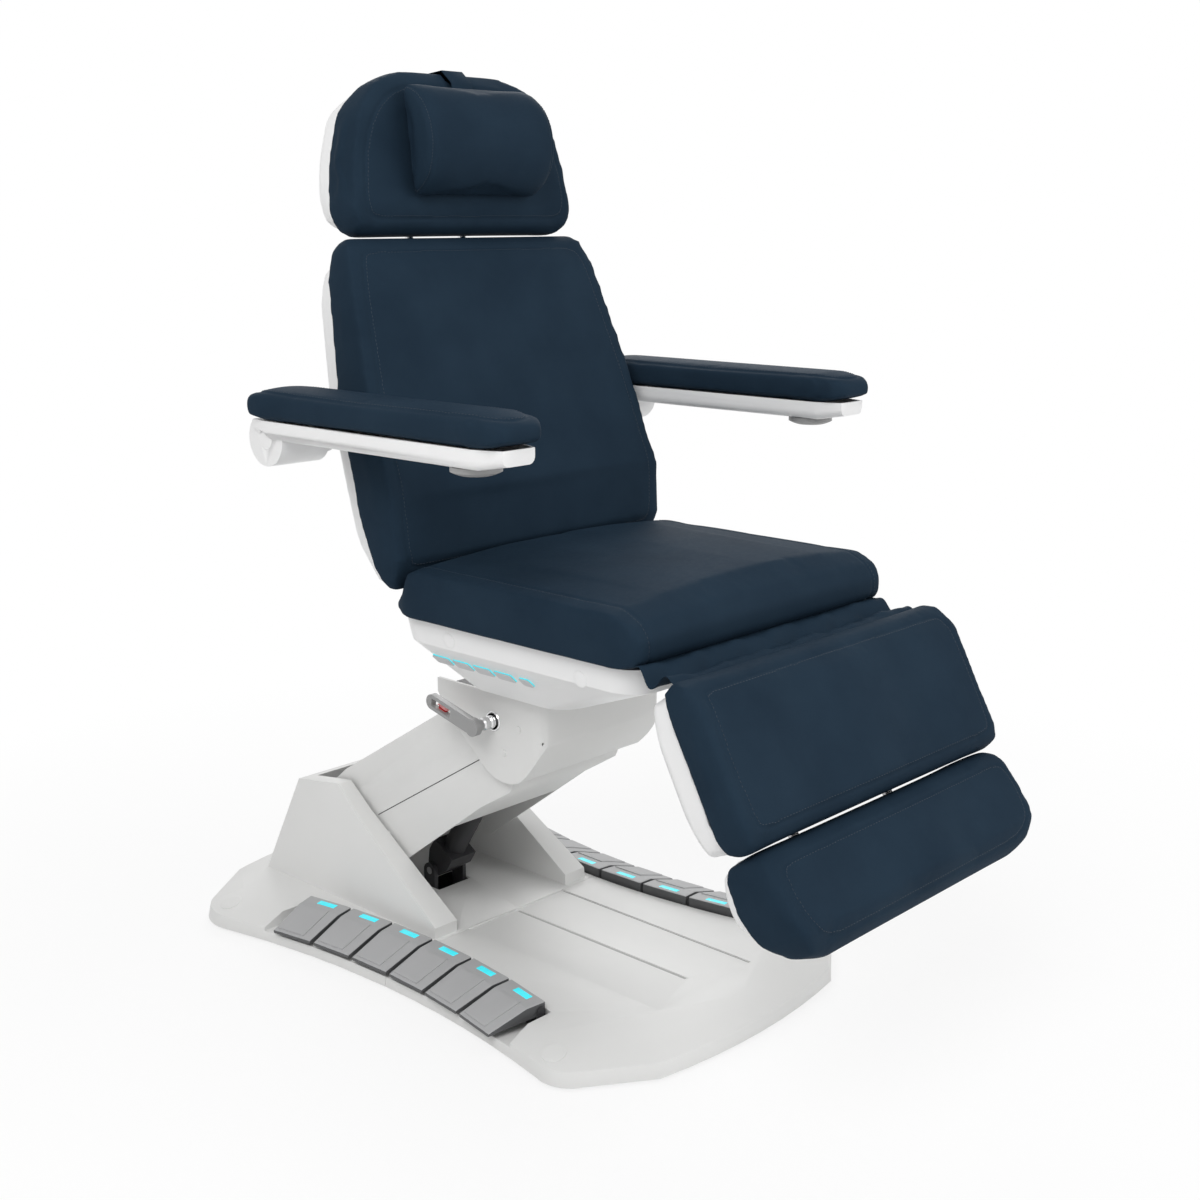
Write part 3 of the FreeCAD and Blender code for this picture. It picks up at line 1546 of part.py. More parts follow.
def back_frame():
    plate_top = S.back_height * PLATE_END_SHARE
    plate_low = S.back_height * PLATE_START_SHARE
    half = S.back_plate_width / 2
    spine = half * BACK_SPINE_SHARE
    lug_top = S.back_height * LUG_RISE_SHARE
    pieces = [
        box(-spine, S.back_plate_n, plate_low, spine * 2, S.back_plate, plate_top - plate_low),
        box(-half, S.back_plate_n, plate_low, half * 2, S.back_plate, lug_top - plate_low),
    ]
    ear = S.ear_radius
    lug = [
        (-ear, ZERO, ZERO, -ear),
        (ear, ZERO),
        (S.back_plate_n + S.back_plate, lug_top),
        (S.back_plate_n, lug_top),
        (S.back_plate_n - S.side_gap, ear),
    ]
    for x in back_lug_places():
        pieces.append(pad(new_body(), "YZ_Plane", lug, S.crank_plate, offset=x))
    reach = arm_shaft_end() - S.side_gap
    tip = arm_shaft_end() + S.bracket_thickness
    pieces.append(rod(S.arm_shaft_radius, reach * 2, -reach, S.arm_shaft_n, S.arm_shaft_u))
    pieces.append(rod(S.arm_shaft_radius * SHAFT_END_SHARE, tip * 2, -tip, S.arm_shaft_n, S.arm_shaft_u))
    guide = S.stem_radius + S.stem_guide_wall
    bores = []
    for side in SIDES.values():
        x = S.stem_spacing / 2 * side
        low = plate_top - S.stem_guide_length
        pieces.append(upright(guide, S.stem_guide_length, x, S.stem_n, low))
        bores.append(upright(S.stem_radius + S.run_fit, S.back_height, x, S.stem_n, low - S.overrun))
    span = S.back_width
    bores.append(rod(S.hinge_pin_radius + S.run_fit, span, -span / 2, ZERO, ZERO))
    frame = on_back(cut(fuse(*pieces), *bores))
    node("back_frame", fuse(frame, crank(back_y, back_z, S.back_crank_lean, S.back_rod_drop, 1)))


def head_stems():
    """Two stems, a cross bar and the barrel that the headrest tilts on."""
    pieces = []
    bar_low = S.head_pivot_u - S.head_barrel_radius - S.stem_radius * 2
    for side in SIDES.values():
        pieces.append(upright(S.stem_radius, bar_low + S.stem_radius - S.stem_low_u,
                              S.stem_spacing / 2 * side, S.stem_n, S.stem_low_u))
    half = S.head_barrel_length / 2
    pieces.append(box(-half, S.stem_n - S.stem_radius, bar_low, half * 2, S.stem_radius * 2,
                      S.stem_radius * 3))
    pieces.append(rod(S.head_barrel_radius, half * 2, -half, S.stem_n, S.head_pivot_u))
    bore = rod(S.head_pin_radius + S.run_fit, half * 4, -half * 2, S.stem_n, S.head_pivot_u)
    node("head_stems", on_back(cut(fuse(*pieces), bore)))


# Headrest, in its own frame about its tilt axis
HEAD_STATION_SHARES = [
    (-0.152, 0.945, 0.50, 0.72, 0.2),
    (-0.108, 0.992, 0.32, 0.92, 0.7),
    (0.032, 1.000, 0.26, 1.00, 1.0),
    (0.316, 0.955, 0.26, 1.00, 1.0),
    (0.640, 0.860, 0.32, 1.00, 1.0),
    (0.800, 0.690, 0.45, 0.94, 0.8),
    (0.876, 0.480, 0.58, 0.84, 0.3),
]
HEAD_SHELL_STATION_SHARES = [
    (-0.110, 0.900, -0.30, 0.18),
    (0.032, 0.955, -0.25, 0.44),
    (0.316, 0.920, -0.25, 0.44),
    (0.640, 0.820, -0.31, 0.26),
    (0.780, 0.640, -0.43, -0.55),
]


def head_cushion():
    solid = upholstery(HEAD_STATION_SHARES, S.head_height, S.head_width, S.head_front, S.head_crown)
    node("head_cushion", on_head(solid))


def head_shell():
    outer = shell_block(HEAD_SHELL_STATION_SHARES, S.head_height, S.head_width, S.head_front,
                        S.head_shell_depth, ZERO)
    inner = shell_block(HEAD_SHELL_STATION_SHARES, S.head_height, S.head_width, S.head_front,
                        S.head_shell_depth,
                        S.head_shell_wall)
    body = loft(new_body(), "XY_Plane", outer)
    loft(body, "XY_Plane", inner, kind="Subtractive")
    half = S.head_barrel_length / 2 + S.side_gap
    reach = S.head_lug + half
    gap = box(-half - S.side_gap, -S.head_lug * 2, -S.head_height, (half + S.side_gap) * 2,
              S.overrun * 3, S.head_height + S.overrun)
    lugs = []
    for side in SIDES.values():
        low = half if side > 0 else -reach
        lugs.append(box(low, -S.head_lug, -S.head_lug, S.head_lug, S.head_lug * 2, S.head_lug * 2))
    pin = rod(S.head_pin_radius, reach * 2, -reach, ZERO, ZERO)
    node("head_shell", on_head(fuse(cut(body, gap), *lugs, pin)))


ROLL_GAP_SHARE = 1.09
STRAP_SHARES = [(-1.10, 0.69), (-1.08, 0.80), (-0.88, 0.895), (-0.55, 0.90), (-0.36, 0.79)]


ROLL_STATION_SHARES = [(-1.0, 0.84), (-0.95, 0.95), (-0.82, 1.0), (0.82, 1.0), (0.95, 0.95), (1.0, 0.84)]


def neck_roll():
    """A half-round roll with drawn-in ends, and its strap over the headrest's top."""
    flat = -S.head_front * ROLL_GAP_SHARE
    middle = S.roll_low - S.overrun + S.roll_height / 2
    stations = []
    for spot_share, girth_share in ROLL_STATION_SHARES:
        half = S.roll_height / 2 * girth_share
        front = flat - S.roll_depth * girth_share
        stations.append((S.roll_width / 2 * spot_share, [(flat, middle + half, front, middle),
                                                         (flat, middle - half)]))
    roll = loft(new_body(), "YZ_Plane", stations)
    outer = [(S.head_front * y_share, S.head_height * z_share) for y_share, z_share in STRAP_SHARES]
    inner = [(y - S.strap_thickness / 2, z - S.strap_thickness) for y, z in reversed(outer[3:])]
    inner += [(y + S.strap_thickness, z - S.strap_thickness / 2) for y, z in reversed(outer[:3])]
    strap = pad(new_body(), "YZ_Plane", outer + inner, S.strap_width)
    node("neck_roll", group(on_head(roll), on_head(strap)))


# Arms: level, about the shaft through the backrest
PAD_STATION_SHARES = [
    (0.000, 0.78, 0.20, 0.72, 0.3),
    (0.022, 0.95, 0.05, 0.95, 0.8),
    (0.080, 1.00, 0.00, 1.00, 1.0),
    (0.500, 1.00, 0.00, 1.00, 1.0),
    (0.900, 0.98, 0.00, 1.00, 1.0),
    (0.965, 0.84, 0.05, 0.95, 0.8),
    (1.000, 0.55, 0.20, 0.72, 0.3),
]
TRAY_STATION_SHARES = [
    (0.020, 0.90, 0.0, 0.70),
    (0.080, 1.00, 0.0, 1.00),
    (0.500, 1.00, 0.0, 1.00),
    (0.900, 0.96, 0.0, 1.00),
    (0.980, 0.62, 0.0, 0.75),
]


STUD_HOLE_SHARE = 1.5
KNOB_FACE_SHARE = 0.62
KNOB_SHOULDER_SHARE = 0.86
KNOB_CROWN_SHARE = 0.4


def arm_pieces():
    rear = arm_y + S.arm_pad_rear
    pad_low = arm_z + S.arm_tray_rise
    rim = pad_low - S.touch_gap
    inner_x = S.arm_centre_x - S.arm_pad_width / 2
    hub_low = inner_x + S.side_gap * 4
    hub_length = S.arm_tray_width - S.side_gap * 6
    stub = S.arm_shaft_radius
    for name, side in SIDES.items():
        # The chair's left is +X
        centre = S.arm_centre_x * side
        stations = []
        for spot_share, width_share, low_share, high_share, crown_share in PAD_STATION_SHARES:
            half = S.arm_pad_width / 2 * width_share
            low = pad_low + S.arm_pad_height * low_share
            high = pad_low + S.arm_pad_height * high_share
            section = pillow_section(half, low, high, S.arm_pad_crown * crown_share,
                                     (high - low) * CUSHION_BULGE_SHARE)
            stations.append((S.arm_pad_length * spot_share - rear, section))
        node(f"{name}_arm_pad", place(loft(new_body(), "XZ_Plane", stations), centre))
        forms = []
        for wall in (ZERO, S.arm_tray_wall):
            forms.append(shell_block(TRAY_STATION_SHARES, S.arm_pad_length, S.arm_tray_width,
                                     S.arm_tray_depth,
                                     -S.arm_tray_depth, wall, -rear, rim, -1))
        tray = loft(new_body(), "XZ_Plane", forms[0])
        loft(tray, "XZ_Plane", forms[1], kind="Subtractive")
        start = hub_low if side > 0 else -hub_low - hub_length
        hub = rod(S.arm_hub_radius, hub_length, start, arm_y, arm_z)
        level = box(-S.base_width, arm_y - S.arm_hub_radius * 2, rim, S.base_width * 2,
                    S.arm_hub_radius * 4, S.arm_hub_radius)
        bore_length = S.arm_pad_width * 2
        bore_start = inner_x - S.overrun if side > 0 else -inner_x + S.overrun - bore_length
        bore = rod(stub + S.run_fit, bore_length, bore_start, arm_y, arm_z)
        knob_y = arm_y - S.knob_ahead
        stud_hole = upright(S.knob_stud_radius + S.run_fit, S.arm_tray_depth, centre, knob_y,
                            rim - S.arm_tray_depth * STUD_HOLE_SHARE)
        node(f"{name}_arm_tray", cut(fuse(place(tray, centre), hub), level, bore, stud_hole))
        bracket_low = arm_shaft_end()
        disc_start = bracket_low if side > 0 else -bracket_low - S.bracket_thickness
        stub_length = S.bracket_thickness + hub_length
        stub_start = bracket_low if side > 0 else -bracket_low - stub_length
        seat_bore = rod(stub * SHAFT_END_SHARE + S.run_fit, S.bracket_thickness + S.side_gap * 2,
                        disc_start - S.side_gap, arm_y, arm_z)
        plate = rod(S.bracket_radius, S.bracket_thickness, disc_start, arm_y, arm_z)
        pivot = rod(stub, stub_length, stub_start, arm_y, arm_z)
        node(f"{name}_arm_bracket", cut(fuse(plate, pivot), seat_bore))
        knob_top = rim - S.arm_tray_depth - S.touch_gap
        profile = [
            (ZERO, -S.knob_height),
            (S.knob_radius * KNOB_FACE_SHARE, -S.knob_height + S.knob_dome * KNOB_CROWN_SHARE,
             S.knob_radius * KNOB_SHOULDER_SHARE, -S.knob_height + S.knob_dome),
            (S.knob_radius, -S.knob_height / 2),
            (S.knob_radius, ZERO),
            (S.knob_stud_radius, ZERO),
            (S.knob_stud_radius, S.arm_tray_wall * 2),
            (ZERO, S.arm_tray_wall * 2),
        ]
        node(f"{name}_arm_knob", place(revolve(new_body(), "XZ_Plane", profile), centre, knob_y, knob_top))


# Legrest and footrest: drawn level, y forwards as minus, about the hinge at the seat's front
LEG_STATION_SHARES = [
    (0.000, 0.970, 0.24, 0.42, 0.2),
    (0.040, 0.993, 0.06, 0.68, 0.6),
    (0.200, 1.000, 0.00, 0.97, 1.0),
    (0.550, 1.000, 0.00, 1.00, 1.0),
    (0.880, 1.000, 0.03, 1.00, 1.0),
    (0.970, 0.990, 0.15, 0.88, 0.6),
    (1.000, 0.960, 0.34, 0.62, 0.2),
]
LEG_SHELL_STATION_SHARES = [
    (0.02, 0.930, 0.0, 0.80),
    (0.20, 0.960, 0.0, 1.00),
    (0.80, 0.960, 0.0, 1.00),
    (0.98, 0.930, 0.0, 0.80),
]
FOOT_STATION_SHARES = [
    (0.000, 0.965, 0.42, 0.58, 0.2),
    (0.040, 0.992, 0.06, 0.72, 0.6),
    (0.160, 1.000, 0.00, 0.84, 1.0),
    (0.420, 1.000, 0.00, 0.93, 1.0),
    (0.720, 0.990, 0.12, 1.00, 1.0),
    (0.910, 0.930, 0.40, 0.86, 0.7),
    (1.000, 0.780, 0.52, 0.70, 0.2),
]
FOOT_SHELL_STATION_SHARES = [
    (0.05, 0.880, 0.0, 0.85),
    (0.20, 0.930, 0.0, 1.00),
    (0.55, 0.930, 0.0, 1.00),
    (0.76, 0.860, -0.40, -0.10),
]


def flat_cushion(table, start, length, width, low, high, crown):
    """A cushion that lies flat in its own frame, from its near end forwards."""
    stations = []
    rise = high - low
    for spot_share, width_share, low_share, high_share, crown_share in table:
        half = width / 2 * width_share
        bottom = low + rise * low_share
        top = low + rise * high_share
        section = pillow_section(half, bottom, top, crown * crown_share, (top - bottom) * CUSHION_BULGE_SHARE)
        stations.append((start + length * spot_share, section))
    return loft(new_body(), "XZ_Plane", stations)


foot_start = S.leg_start + S.leg_length + S.foot_gap


def flat_shell(table, start, length, width, rim, depth, wall):
    forms = [shell_block(table, length, width, -depth, -depth, thickness, start, rim,
                         -1) for thickness in (ZERO, wall)]
    body = loft(new_body(), "XZ_Plane", forms[0])
    return loft(body, "XZ_Plane", forms[1], kind="Subtractive")


LEG_PLATE_START_SHARE = 0.12
LEG_PLATE_END_SHARE = 0.87


def leg_lug():
    ear = S.ear_radius - S.side_gap
    reach = S.leg_length * LEG_PLATE_START_SHARE * 2
    return [
        (ZERO, ear, ear, ZERO),
        (ZERO, -ear),
        (-reach, S.leg_plate_up - S.leg_plate),
        (-reach, S.leg_plate_up + S.leg_plate),
    ]


def leg_lug_places():
    lug_x = S.leg_ear_span / 2 + S.ear_plate / 2 + S.side_gap + S.crank_plate / 2
    return (lug_x, -lug_x, crank_x(-1))


def legrest():
    node("leg_cushion", on_leg(flat_cushion(LEG_STATION_SHARES, S.leg_start, S.leg_length, S.leg_width,
                                            S.leg_cushion_low,
                                            S.leg_cushion_high, S.leg_crown)))
    shell = flat_shell(LEG_SHELL_STATION_SHARES, S.leg_start, S.leg_length, S.leg_width,
                       S.leg_cushion_low - S.touch_gap,
                       S.leg_shell_depth, S.leg_shell_wall)
    half = S.leg_plate_width / 2
    start = S.leg_start + S.leg_length * LEG_PLATE_START_SHARE
    end = S.leg_start + S.leg_length * LEG_PLATE_END_SHARE
    guide = S.rail_radius + S.rail_guide_wall
    plate = box(-half, -end, S.leg_plate_up, half * 2, end - start, S.leg_plate)
    pieces = [plate]
    holes = []
    notches = []
    for side in SIDES.values():
        x = S.rail_spacing / 2 * side
        pieces.append(along_y(guide, end - start, x, -end, S.rail_up))
        holes.append(along_y(S.rail_radius + S.run_fit, S.leg_length * 2, x, -end - S.overrun, S.rail_up))
        notches.append(along_y(S.rail_radius + S.side_gap, S.leg_length, x, -end - S.leg_length / 2,
                               S.rail_up))
    for x in leg_lug_places():
        pieces.append(pad(new_body(), "YZ_Plane", leg_lug(), S.crank_plate, offset=x))
        room = S.crank_plate / 2 + S.side_gap * 3
        notches.append(box(x - room, -start - S.overrun, -S.leg_shell_depth, room * 2,
                           start + S.overrun * 2, S.leg_shell_depth * 2))
    span = S.leg_width
    holes.append(rod(S.hinge_pin_radius + S.run_fit, span, -span / 2, ZERO, ZERO))
    frame = on_leg(cut(fuse(*pieces), *holes))
    node("leg_frame", fuse(frame, crank(leg_y, leg_z, S.leg_crank_lean, S.leg_rod_drop, -1)))
    node("leg_shell", on_leg(cut(shell, *notches)))


FOOT_RAIL_SHARE = 0.6


def footrest():
    node("foot_cushion", on_leg(flat_cushion(FOOT_STATION_SHARES, foot_start, S.foot_length, S.foot_width,
                                             S.foot_cushion_low, S.foot_cushion_high, S.foot_crown)))
    shell = flat_shell(FOOT_SHELL_STATION_SHARES, foot_start, S.foot_length, S.foot_width,
                       S.foot_cushion_low - S.touch_gap, S.foot_shell_depth, S.foot_shell_wall)
    rail_end = foot_start + S.foot_length * FOOT_RAIL_SHARE
    rails = []
    slots = []
    for side in SIDES.values():
        x = S.rail_spacing / 2 * side
        rails.append(along_y(S.rail_radius, S.rail_length, x, -rail_end, S.rail_up))
        slots.append(along_y(S.rail_radius, S.rail_length, x, -rail_end, S.rail_up))
    bar_half = S.rail_spacing / 2 + S.rail_radius
    bar = box(-bar_half, -rail_end, S.rail_up - S.rail_radius / 2, bar_half * 2, S.rail_radius * 2,
              S.rail_radius)
    node("foot_rails", on_leg(fuse(*rails, bar)))
    node("foot_shell", on_leg(cut(shell, *slots)))


base_covers()
base_frame()
levelling_feet()
base_pivot_pins()
pedals()
pedal_hinges()
lift_arm_cover()
lift_arm_frame()
levelling_link()
lift_motor()
lift_rod()
column_cover()
column_frame()
column_pivot_pins()
swivel_bearing()
lock_lever()
seat_pan()
seat_frame()
seat_motors()
seat_rod("back_rod", 1, back_rod_y, back_rod_z, -1)
seat_rod("leg_rod", -1, leg_rod_y, leg_rod_z, 1)
buttons()
seat_cushion()
back_cushion()
back_shell()
back_frame()
head_stems()
head_cushion()
head_shell()
neck_roll()
arm_pieces()
legrest()
footrest()
doc.recompute()

failed = [obj.Label for obj in doc.Objects if "Invalid" in obj.State or "Error" in obj.State]
failed += [label for label, obj in nodes.items() if obj.Shape.isNull() or not obj.Shape.isValid()]
if failed:
    raise RuntimeError("failed: " + ", ".join(failed))
os.makedirs("parts", exist_ok=True)
for label, obj in nodes.items():
    obj.Shape.exportStep(f"parts/{label}.step")
print(len(nodes), "nodes written")
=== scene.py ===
"""Procedure chair: finishes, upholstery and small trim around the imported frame."""
import bisect
import json
import math

import bmesh
import bpy
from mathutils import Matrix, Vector
from mathutils.bvhtree import BVHTree
from mathutils.kdtree import KDTree

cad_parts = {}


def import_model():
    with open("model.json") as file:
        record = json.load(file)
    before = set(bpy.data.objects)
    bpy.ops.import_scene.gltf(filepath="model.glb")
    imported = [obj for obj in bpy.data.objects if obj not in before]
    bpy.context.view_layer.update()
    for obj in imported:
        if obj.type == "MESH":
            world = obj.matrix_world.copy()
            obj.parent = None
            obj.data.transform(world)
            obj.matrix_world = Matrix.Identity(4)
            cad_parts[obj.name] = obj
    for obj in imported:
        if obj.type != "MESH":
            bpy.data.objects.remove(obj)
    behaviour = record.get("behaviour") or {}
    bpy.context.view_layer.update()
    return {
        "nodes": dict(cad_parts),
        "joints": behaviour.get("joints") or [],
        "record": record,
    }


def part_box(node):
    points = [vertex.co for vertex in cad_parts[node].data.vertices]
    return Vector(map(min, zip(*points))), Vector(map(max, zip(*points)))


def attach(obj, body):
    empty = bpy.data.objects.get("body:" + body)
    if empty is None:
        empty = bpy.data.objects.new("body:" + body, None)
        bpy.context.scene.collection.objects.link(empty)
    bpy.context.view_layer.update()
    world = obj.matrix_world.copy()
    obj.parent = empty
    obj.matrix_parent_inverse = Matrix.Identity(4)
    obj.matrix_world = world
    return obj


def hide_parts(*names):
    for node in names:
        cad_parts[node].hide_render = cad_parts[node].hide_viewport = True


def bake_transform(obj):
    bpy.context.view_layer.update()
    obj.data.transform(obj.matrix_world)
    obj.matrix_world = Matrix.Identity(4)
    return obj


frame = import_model()
NODES = frame["nodes"]
BODY_OF = {node: body for body, nodes in frame["record"]["behaviour"]["bodies"].items() for node in nodes}
JOINT = {joint["name"]: joint for joint in frame["joints"]}
MM = 0.001

# Camera at the photograph's viewpoint
CAMERA_PLACE = (-1.9031, -1.8449, 1.2681)
CAMERA_YAW = math.radians(-46.99)
CAMERA_PITCH = math.radians(13.30)
CAMERA_LENS = 48.9
CAMERA_SENSOR = 36.0

# Colours, as linear values
NAVY = (0.0132, 0.0262, 0.0432, 1)
NAVY_LIGHT = (0.0170, 0.0328, 0.0526, 1)
THREAD = (0.0150, 0.0290, 0.0470, 1)
WHITE = (0.83, 0.83, 0.83, 1)
WARM_GREY = (0.745, 0.745, 0.735, 1)
PEDAL_GREY = (0.420, 0.422, 0.428, 1)
PEDAL_DARK = (0.085, 0.087, 0.090, 1)
DARK_METAL = (0.030, 0.030, 0.033, 1)
STEEL = (0.52, 0.52, 0.53, 1)
CHROME = (0.75, 0.75, 0.76, 1)
RUBBER = (0.012, 0.012, 0.012, 1)
CYAN = (0.060, 0.780, 0.880, 1)
RED = (0.550, 0.012, 0.015, 1)
LEVER_GREY = (0.300, 0.300, 0.300, 1)
BUTTON_GREY = (0.56, 0.56, 0.57, 1)
# Painted shade: a darker grey for the lines laid along the deck recess's edges and groove
RECESS_SHADE_GREY = (0.40, 0.40, 0.395, 1)


# Materials
class Shader:
    """A principled material with helpers for the nodes that give it detail."""

    def __init__(self, name, roughness, **sockets):
        self.material = bpy.data.materials.new(name)
        self.material.use_nodes = True
        self.tree = self.material.node_tree
        self.out = self.tree.nodes["Principled BSDF"]
        self.out.inputs["Roughness"].default_value = roughness
        for socket, value in sockets.items():
            self.out.inputs[socket.replace("_", " ")].default_value = value
        self.place = self.tree.nodes.new("ShaderNodeTexCoord").outputs["Object"]

    def link(self, start, end):
        self.tree.links.new(start, end)

    def noise(self, scale, detail=3.0, stretch=None):
        node = self.tree.nodes.new("ShaderNodeTexNoise")
        node.inputs["Scale"].default_value = scale
        node.inputs["Detail"].default_value = detail
        source = self.place
        if stretch:
            mapping = self.tree.nodes.new("ShaderNodeMapping")
            mapping.inputs["Scale"].default_value = stretch
            self.link(source, mapping.inputs["Vector"])
            source = mapping.outputs["Vector"]
        self.link(source, node.inputs["Vector"])
        return node.outputs["Fac"]

    def cells(self, scale):
        node = self.tree.nodes.new("ShaderNodeTexVoronoi")
        node.inputs["Scale"].default_value = scale
        self.link(self.place, node.inputs["Vector"])
        return node.outputs["Distance"]

    def spread(self, value, low, high):
        node = self.tree.nodes.new("ShaderNodeMapRange")
        node.inputs["To Min"].default_value = low
        node.inputs["To Max"].default_value = high
        self.link(value, node.inputs["Value"])
        return node.outputs["Result"]

    def colours(self, value, low, high):
        node = self.tree.nodes.new("ShaderNodeValToRGB")
        node.color_ramp.elements[0].color = low
        node.color_ramp.elements[0].position = 0.3
        node.color_ramp.elements[1].color = high
        node.color_ramp.elements[1].position = 0.7
        self.link(value, node.inputs["Fac"])
        self.link(node.outputs["Color"], self.out.inputs["Base Color"])

    def bump(self, value, strength, depth, after=None):
        node = self.tree.nodes.new("ShaderNodeBump")
        node.inputs["Strength"].default_value = strength
        node.inputs["Distance"].default_value = depth
        self.link(value, node.inputs["Height"])
        if after:
            self.link(after, node.inputs["Normal"])
        return node.outputs["Normal"]

    def finish(self, normal=None, roughness=None):
        if normal:
            self.link(normal, self.out.inputs["Normal"])
        if roughness:
            self.link(roughness, self.out.inputs["Roughness"])
        return self.material


def tinted(colour, factor):
    return tuple(channel * factor for channel in colour[:3]) + (1,)


def leather():
    shader = Shader("navy_leather", 0.6, Specular_IOR_Level=0.03)
    shader.colours(shader.noise(9, 4), NAVY, NAVY_LIGHT)
    wrinkle = shader.bump(shader.noise(55, 5), 0.10, 0.002)
    grain = shader.bump(shader.cells(900), 0.22, 0.0004, wrinkle)
    return shader.finish(grain, shader.spread(shader.noise(140, 2), 0.58, 0.70))


def moulded(name, colour, roughness, grain_scale, grain_strength, mottle=0.03):
    """Moulded plastic: a fine skin, with faint changes of tone and gloss."""
    shader = Shader(name, roughness)
    shader.colours(shader.noise(6, 3), tinted(colour, 1 - mottle), tinted(colour, 1 + mottle))
    skin = shader.bump(shader.noise(grain_scale, 2), grain_strength, 0.0004)
    return shader.finish(skin, shader.spread(shader.noise(35, 3), roughness - 0.05, roughness + 0.06))


def metal(name, colour, roughness, stretch):
    shader = Shader(name, roughness, Metallic=1.0)
    shader.colours(shader.noise(40, 3), tinted(colour, 0.93), tinted(colour, 1.05))
    brushed = shader.noise(300, 3, stretch)
    gloss = shader.spread(brushed, roughness - 0.04, roughness + 0.08)
    return shader.finish(shader.bump(brushed, 0.05, 0.0003), gloss)


def lit_window():
    shader = Shader("lit_window", 0.25, Emission_Color=CYAN, Emission_Strength=0.35)
    shader.colours(shader.noise(60, 2), tinted(CYAN, 0.92), tinted(CYAN, 1.05))
    return shader.finish(shader.bump(shader.noise(500, 2), 0.03, 0.0002))


LEATHER = leather()
STITCH = moulded("stitch_thread", THREAD, 0.7, 2500, 0.3)
SHELL = moulded("white_shell", WHITE, 0.30, 700, 0.02, 0.01)
COVER = moulded("warm_grey_cover", WARM_GREY, 0.48, 1100, 0.10, 0.012)
PEDAL = moulded("pedal_grey", PEDAL_GREY, 0.52, 1300, 0.14)
PEDAL_SIDE = moulded("pedal_side", PEDAL_DARK, 0.55, 1300, 0.14)
COATED = moulded("dark_frame", DARK_METAL, 0.5, 800, 0.15)
GROUND = metal("ground_steel", STEEL, 0.32, (1, 12, 12))
PLATED = metal("bright_plate", CHROME, 0.10, (1, 4, 4))
FOOT_RUBBER = moulded("foot_rubber", RUBBER, 0.75, 600, 0.25)
BUTTON = moulded("button_white", BUTTON_GREY, 0.40, 900, 0.04)
LEVER = moulded("lever_grey", LEVER_GREY, 0.42, 900, 0.10)
WINDOW = lit_window()
INSERT = moulded("red_insert", RED, 0.35, 900, 0.05)
# Painted shade for the deck recess's edges and groove
PAINTED_RECESS_SHADE = moulded("painted_recess_shade", RECESS_SHADE_GREY, 0.6, 900, 0.10)
SHADOW_GAP = moulded("shadow_gap", DARK_METAL, 0.8, 400, 0.10)

SLOT_MATERIAL = {
    "navy_leather": LEATHER,
    "white_shell": SHELL,
    "warm_grey_cover": COVER,
    "pedal_grey": PEDAL,
    "dark_frame": COATED,
    "bare_steel": GROUND,
    "bright_stem": PLATED,
    "foot_rubber": FOOT_RUBBER,
    "button_white": BUTTON,
    "lever_grey": LEVER,
}
SLOT_OF = {part["node"]: part["material_slot"] for part in frame["record"]["subparts"]}


def paint(obj, material):
    obj.data.materials.clear()
    obj.data.materials.append(material)


for node_name, node_object in NODES.items():
    paint(node_object, SLOT_MATERIAL[SLOT_OF[node_name]])


# Pieces
def piece(name, mesh, body, slot, material, *replaced):
    """A new object that rides on a body and may stand for CAD nodes."""
    obj = bpy.data.objects.new(name, mesh)
    bpy.context.scene.collection.objects.link(obj)
    paint(obj, material)
    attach(obj, body)
    if replaced:
        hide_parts(*replaced)
    return obj


def apply_modifiers(obj):
    graph = bpy.context.evaluated_depsgraph_get()
    mesh = bpy.data.meshes.new_from_object(obj.evaluated_get(graph))
    obj.modifiers.clear()
    obj.data = mesh
    return obj


def smooth(obj, angle=40):
    for face in obj.data.polygons:
        face.use_smooth = True
    obj.data.set_sharp_from_angle(angle=math.radians(angle))
    return obj


def node_mesh(node, dissolve=2.0):
    """A copy of a CAD node's mesh with its flat faces joined."""
    mesh = NODES[node].data.copy()
    work = bmesh.new()
    work.from_mesh(mesh)
    bmesh.ops.remove_doubles(work, verts=work.verts, dist=0.01 * MM)
    bmesh.ops.dissolve_limit(work, angle_limit=math.radians(dissolve), verts=work.verts, edges=work.edges)
    work.to_mesh(mesh)
    work.free()
    return mesh


def softened(node, name, radius, angle=35, segments=3):
    """A moulded cover: the CAD form with its edges rounded."""
    slot = SLOT_OF[node]
    obj = piece(name, node_mesh(node), BODY_OF[node], slot, SLOT_MATERIAL[slot], node)
    bevel = obj.modifiers.new("Round", "BEVEL")
    bevel.width = radius
    bevel.segments = segments
    bevel.limit_method = "ANGLE"
    bevel.angle_limit = math.radians(angle)
    bevel.use_clamp_overlap = True
    bevel.miter_outer = "MITER_ARC"
    apply_modifiers(obj)
    return smooth(obj, 30)


# Upholstery
VOXEL = 6 * MM
CLOTH_FRAMES = 20
CLOTH_PRESSURE = 4
CLOTH_STIFFNESS = 25
CLOTH_BENDING = 2
ACROSS = Vector((1, 0, 0))
AHEAD = Vector((0, -1, 0))
UPWARD = Vector((0, 0, 1))
REARWARD = Vector((0, 1, 0))
BACK_UP = Vector(JOINT["headrest_up"]["axis"])
LEG_UP = -Vector(JOINT["footrest_out"]["axis"])
HEAD_LEAN = math.radians(7.5)
HEAD_UP = Vector((0, math.sin(HEAD_LEAN), math.cos(HEAD_LEAN)))
FAR = 1.0


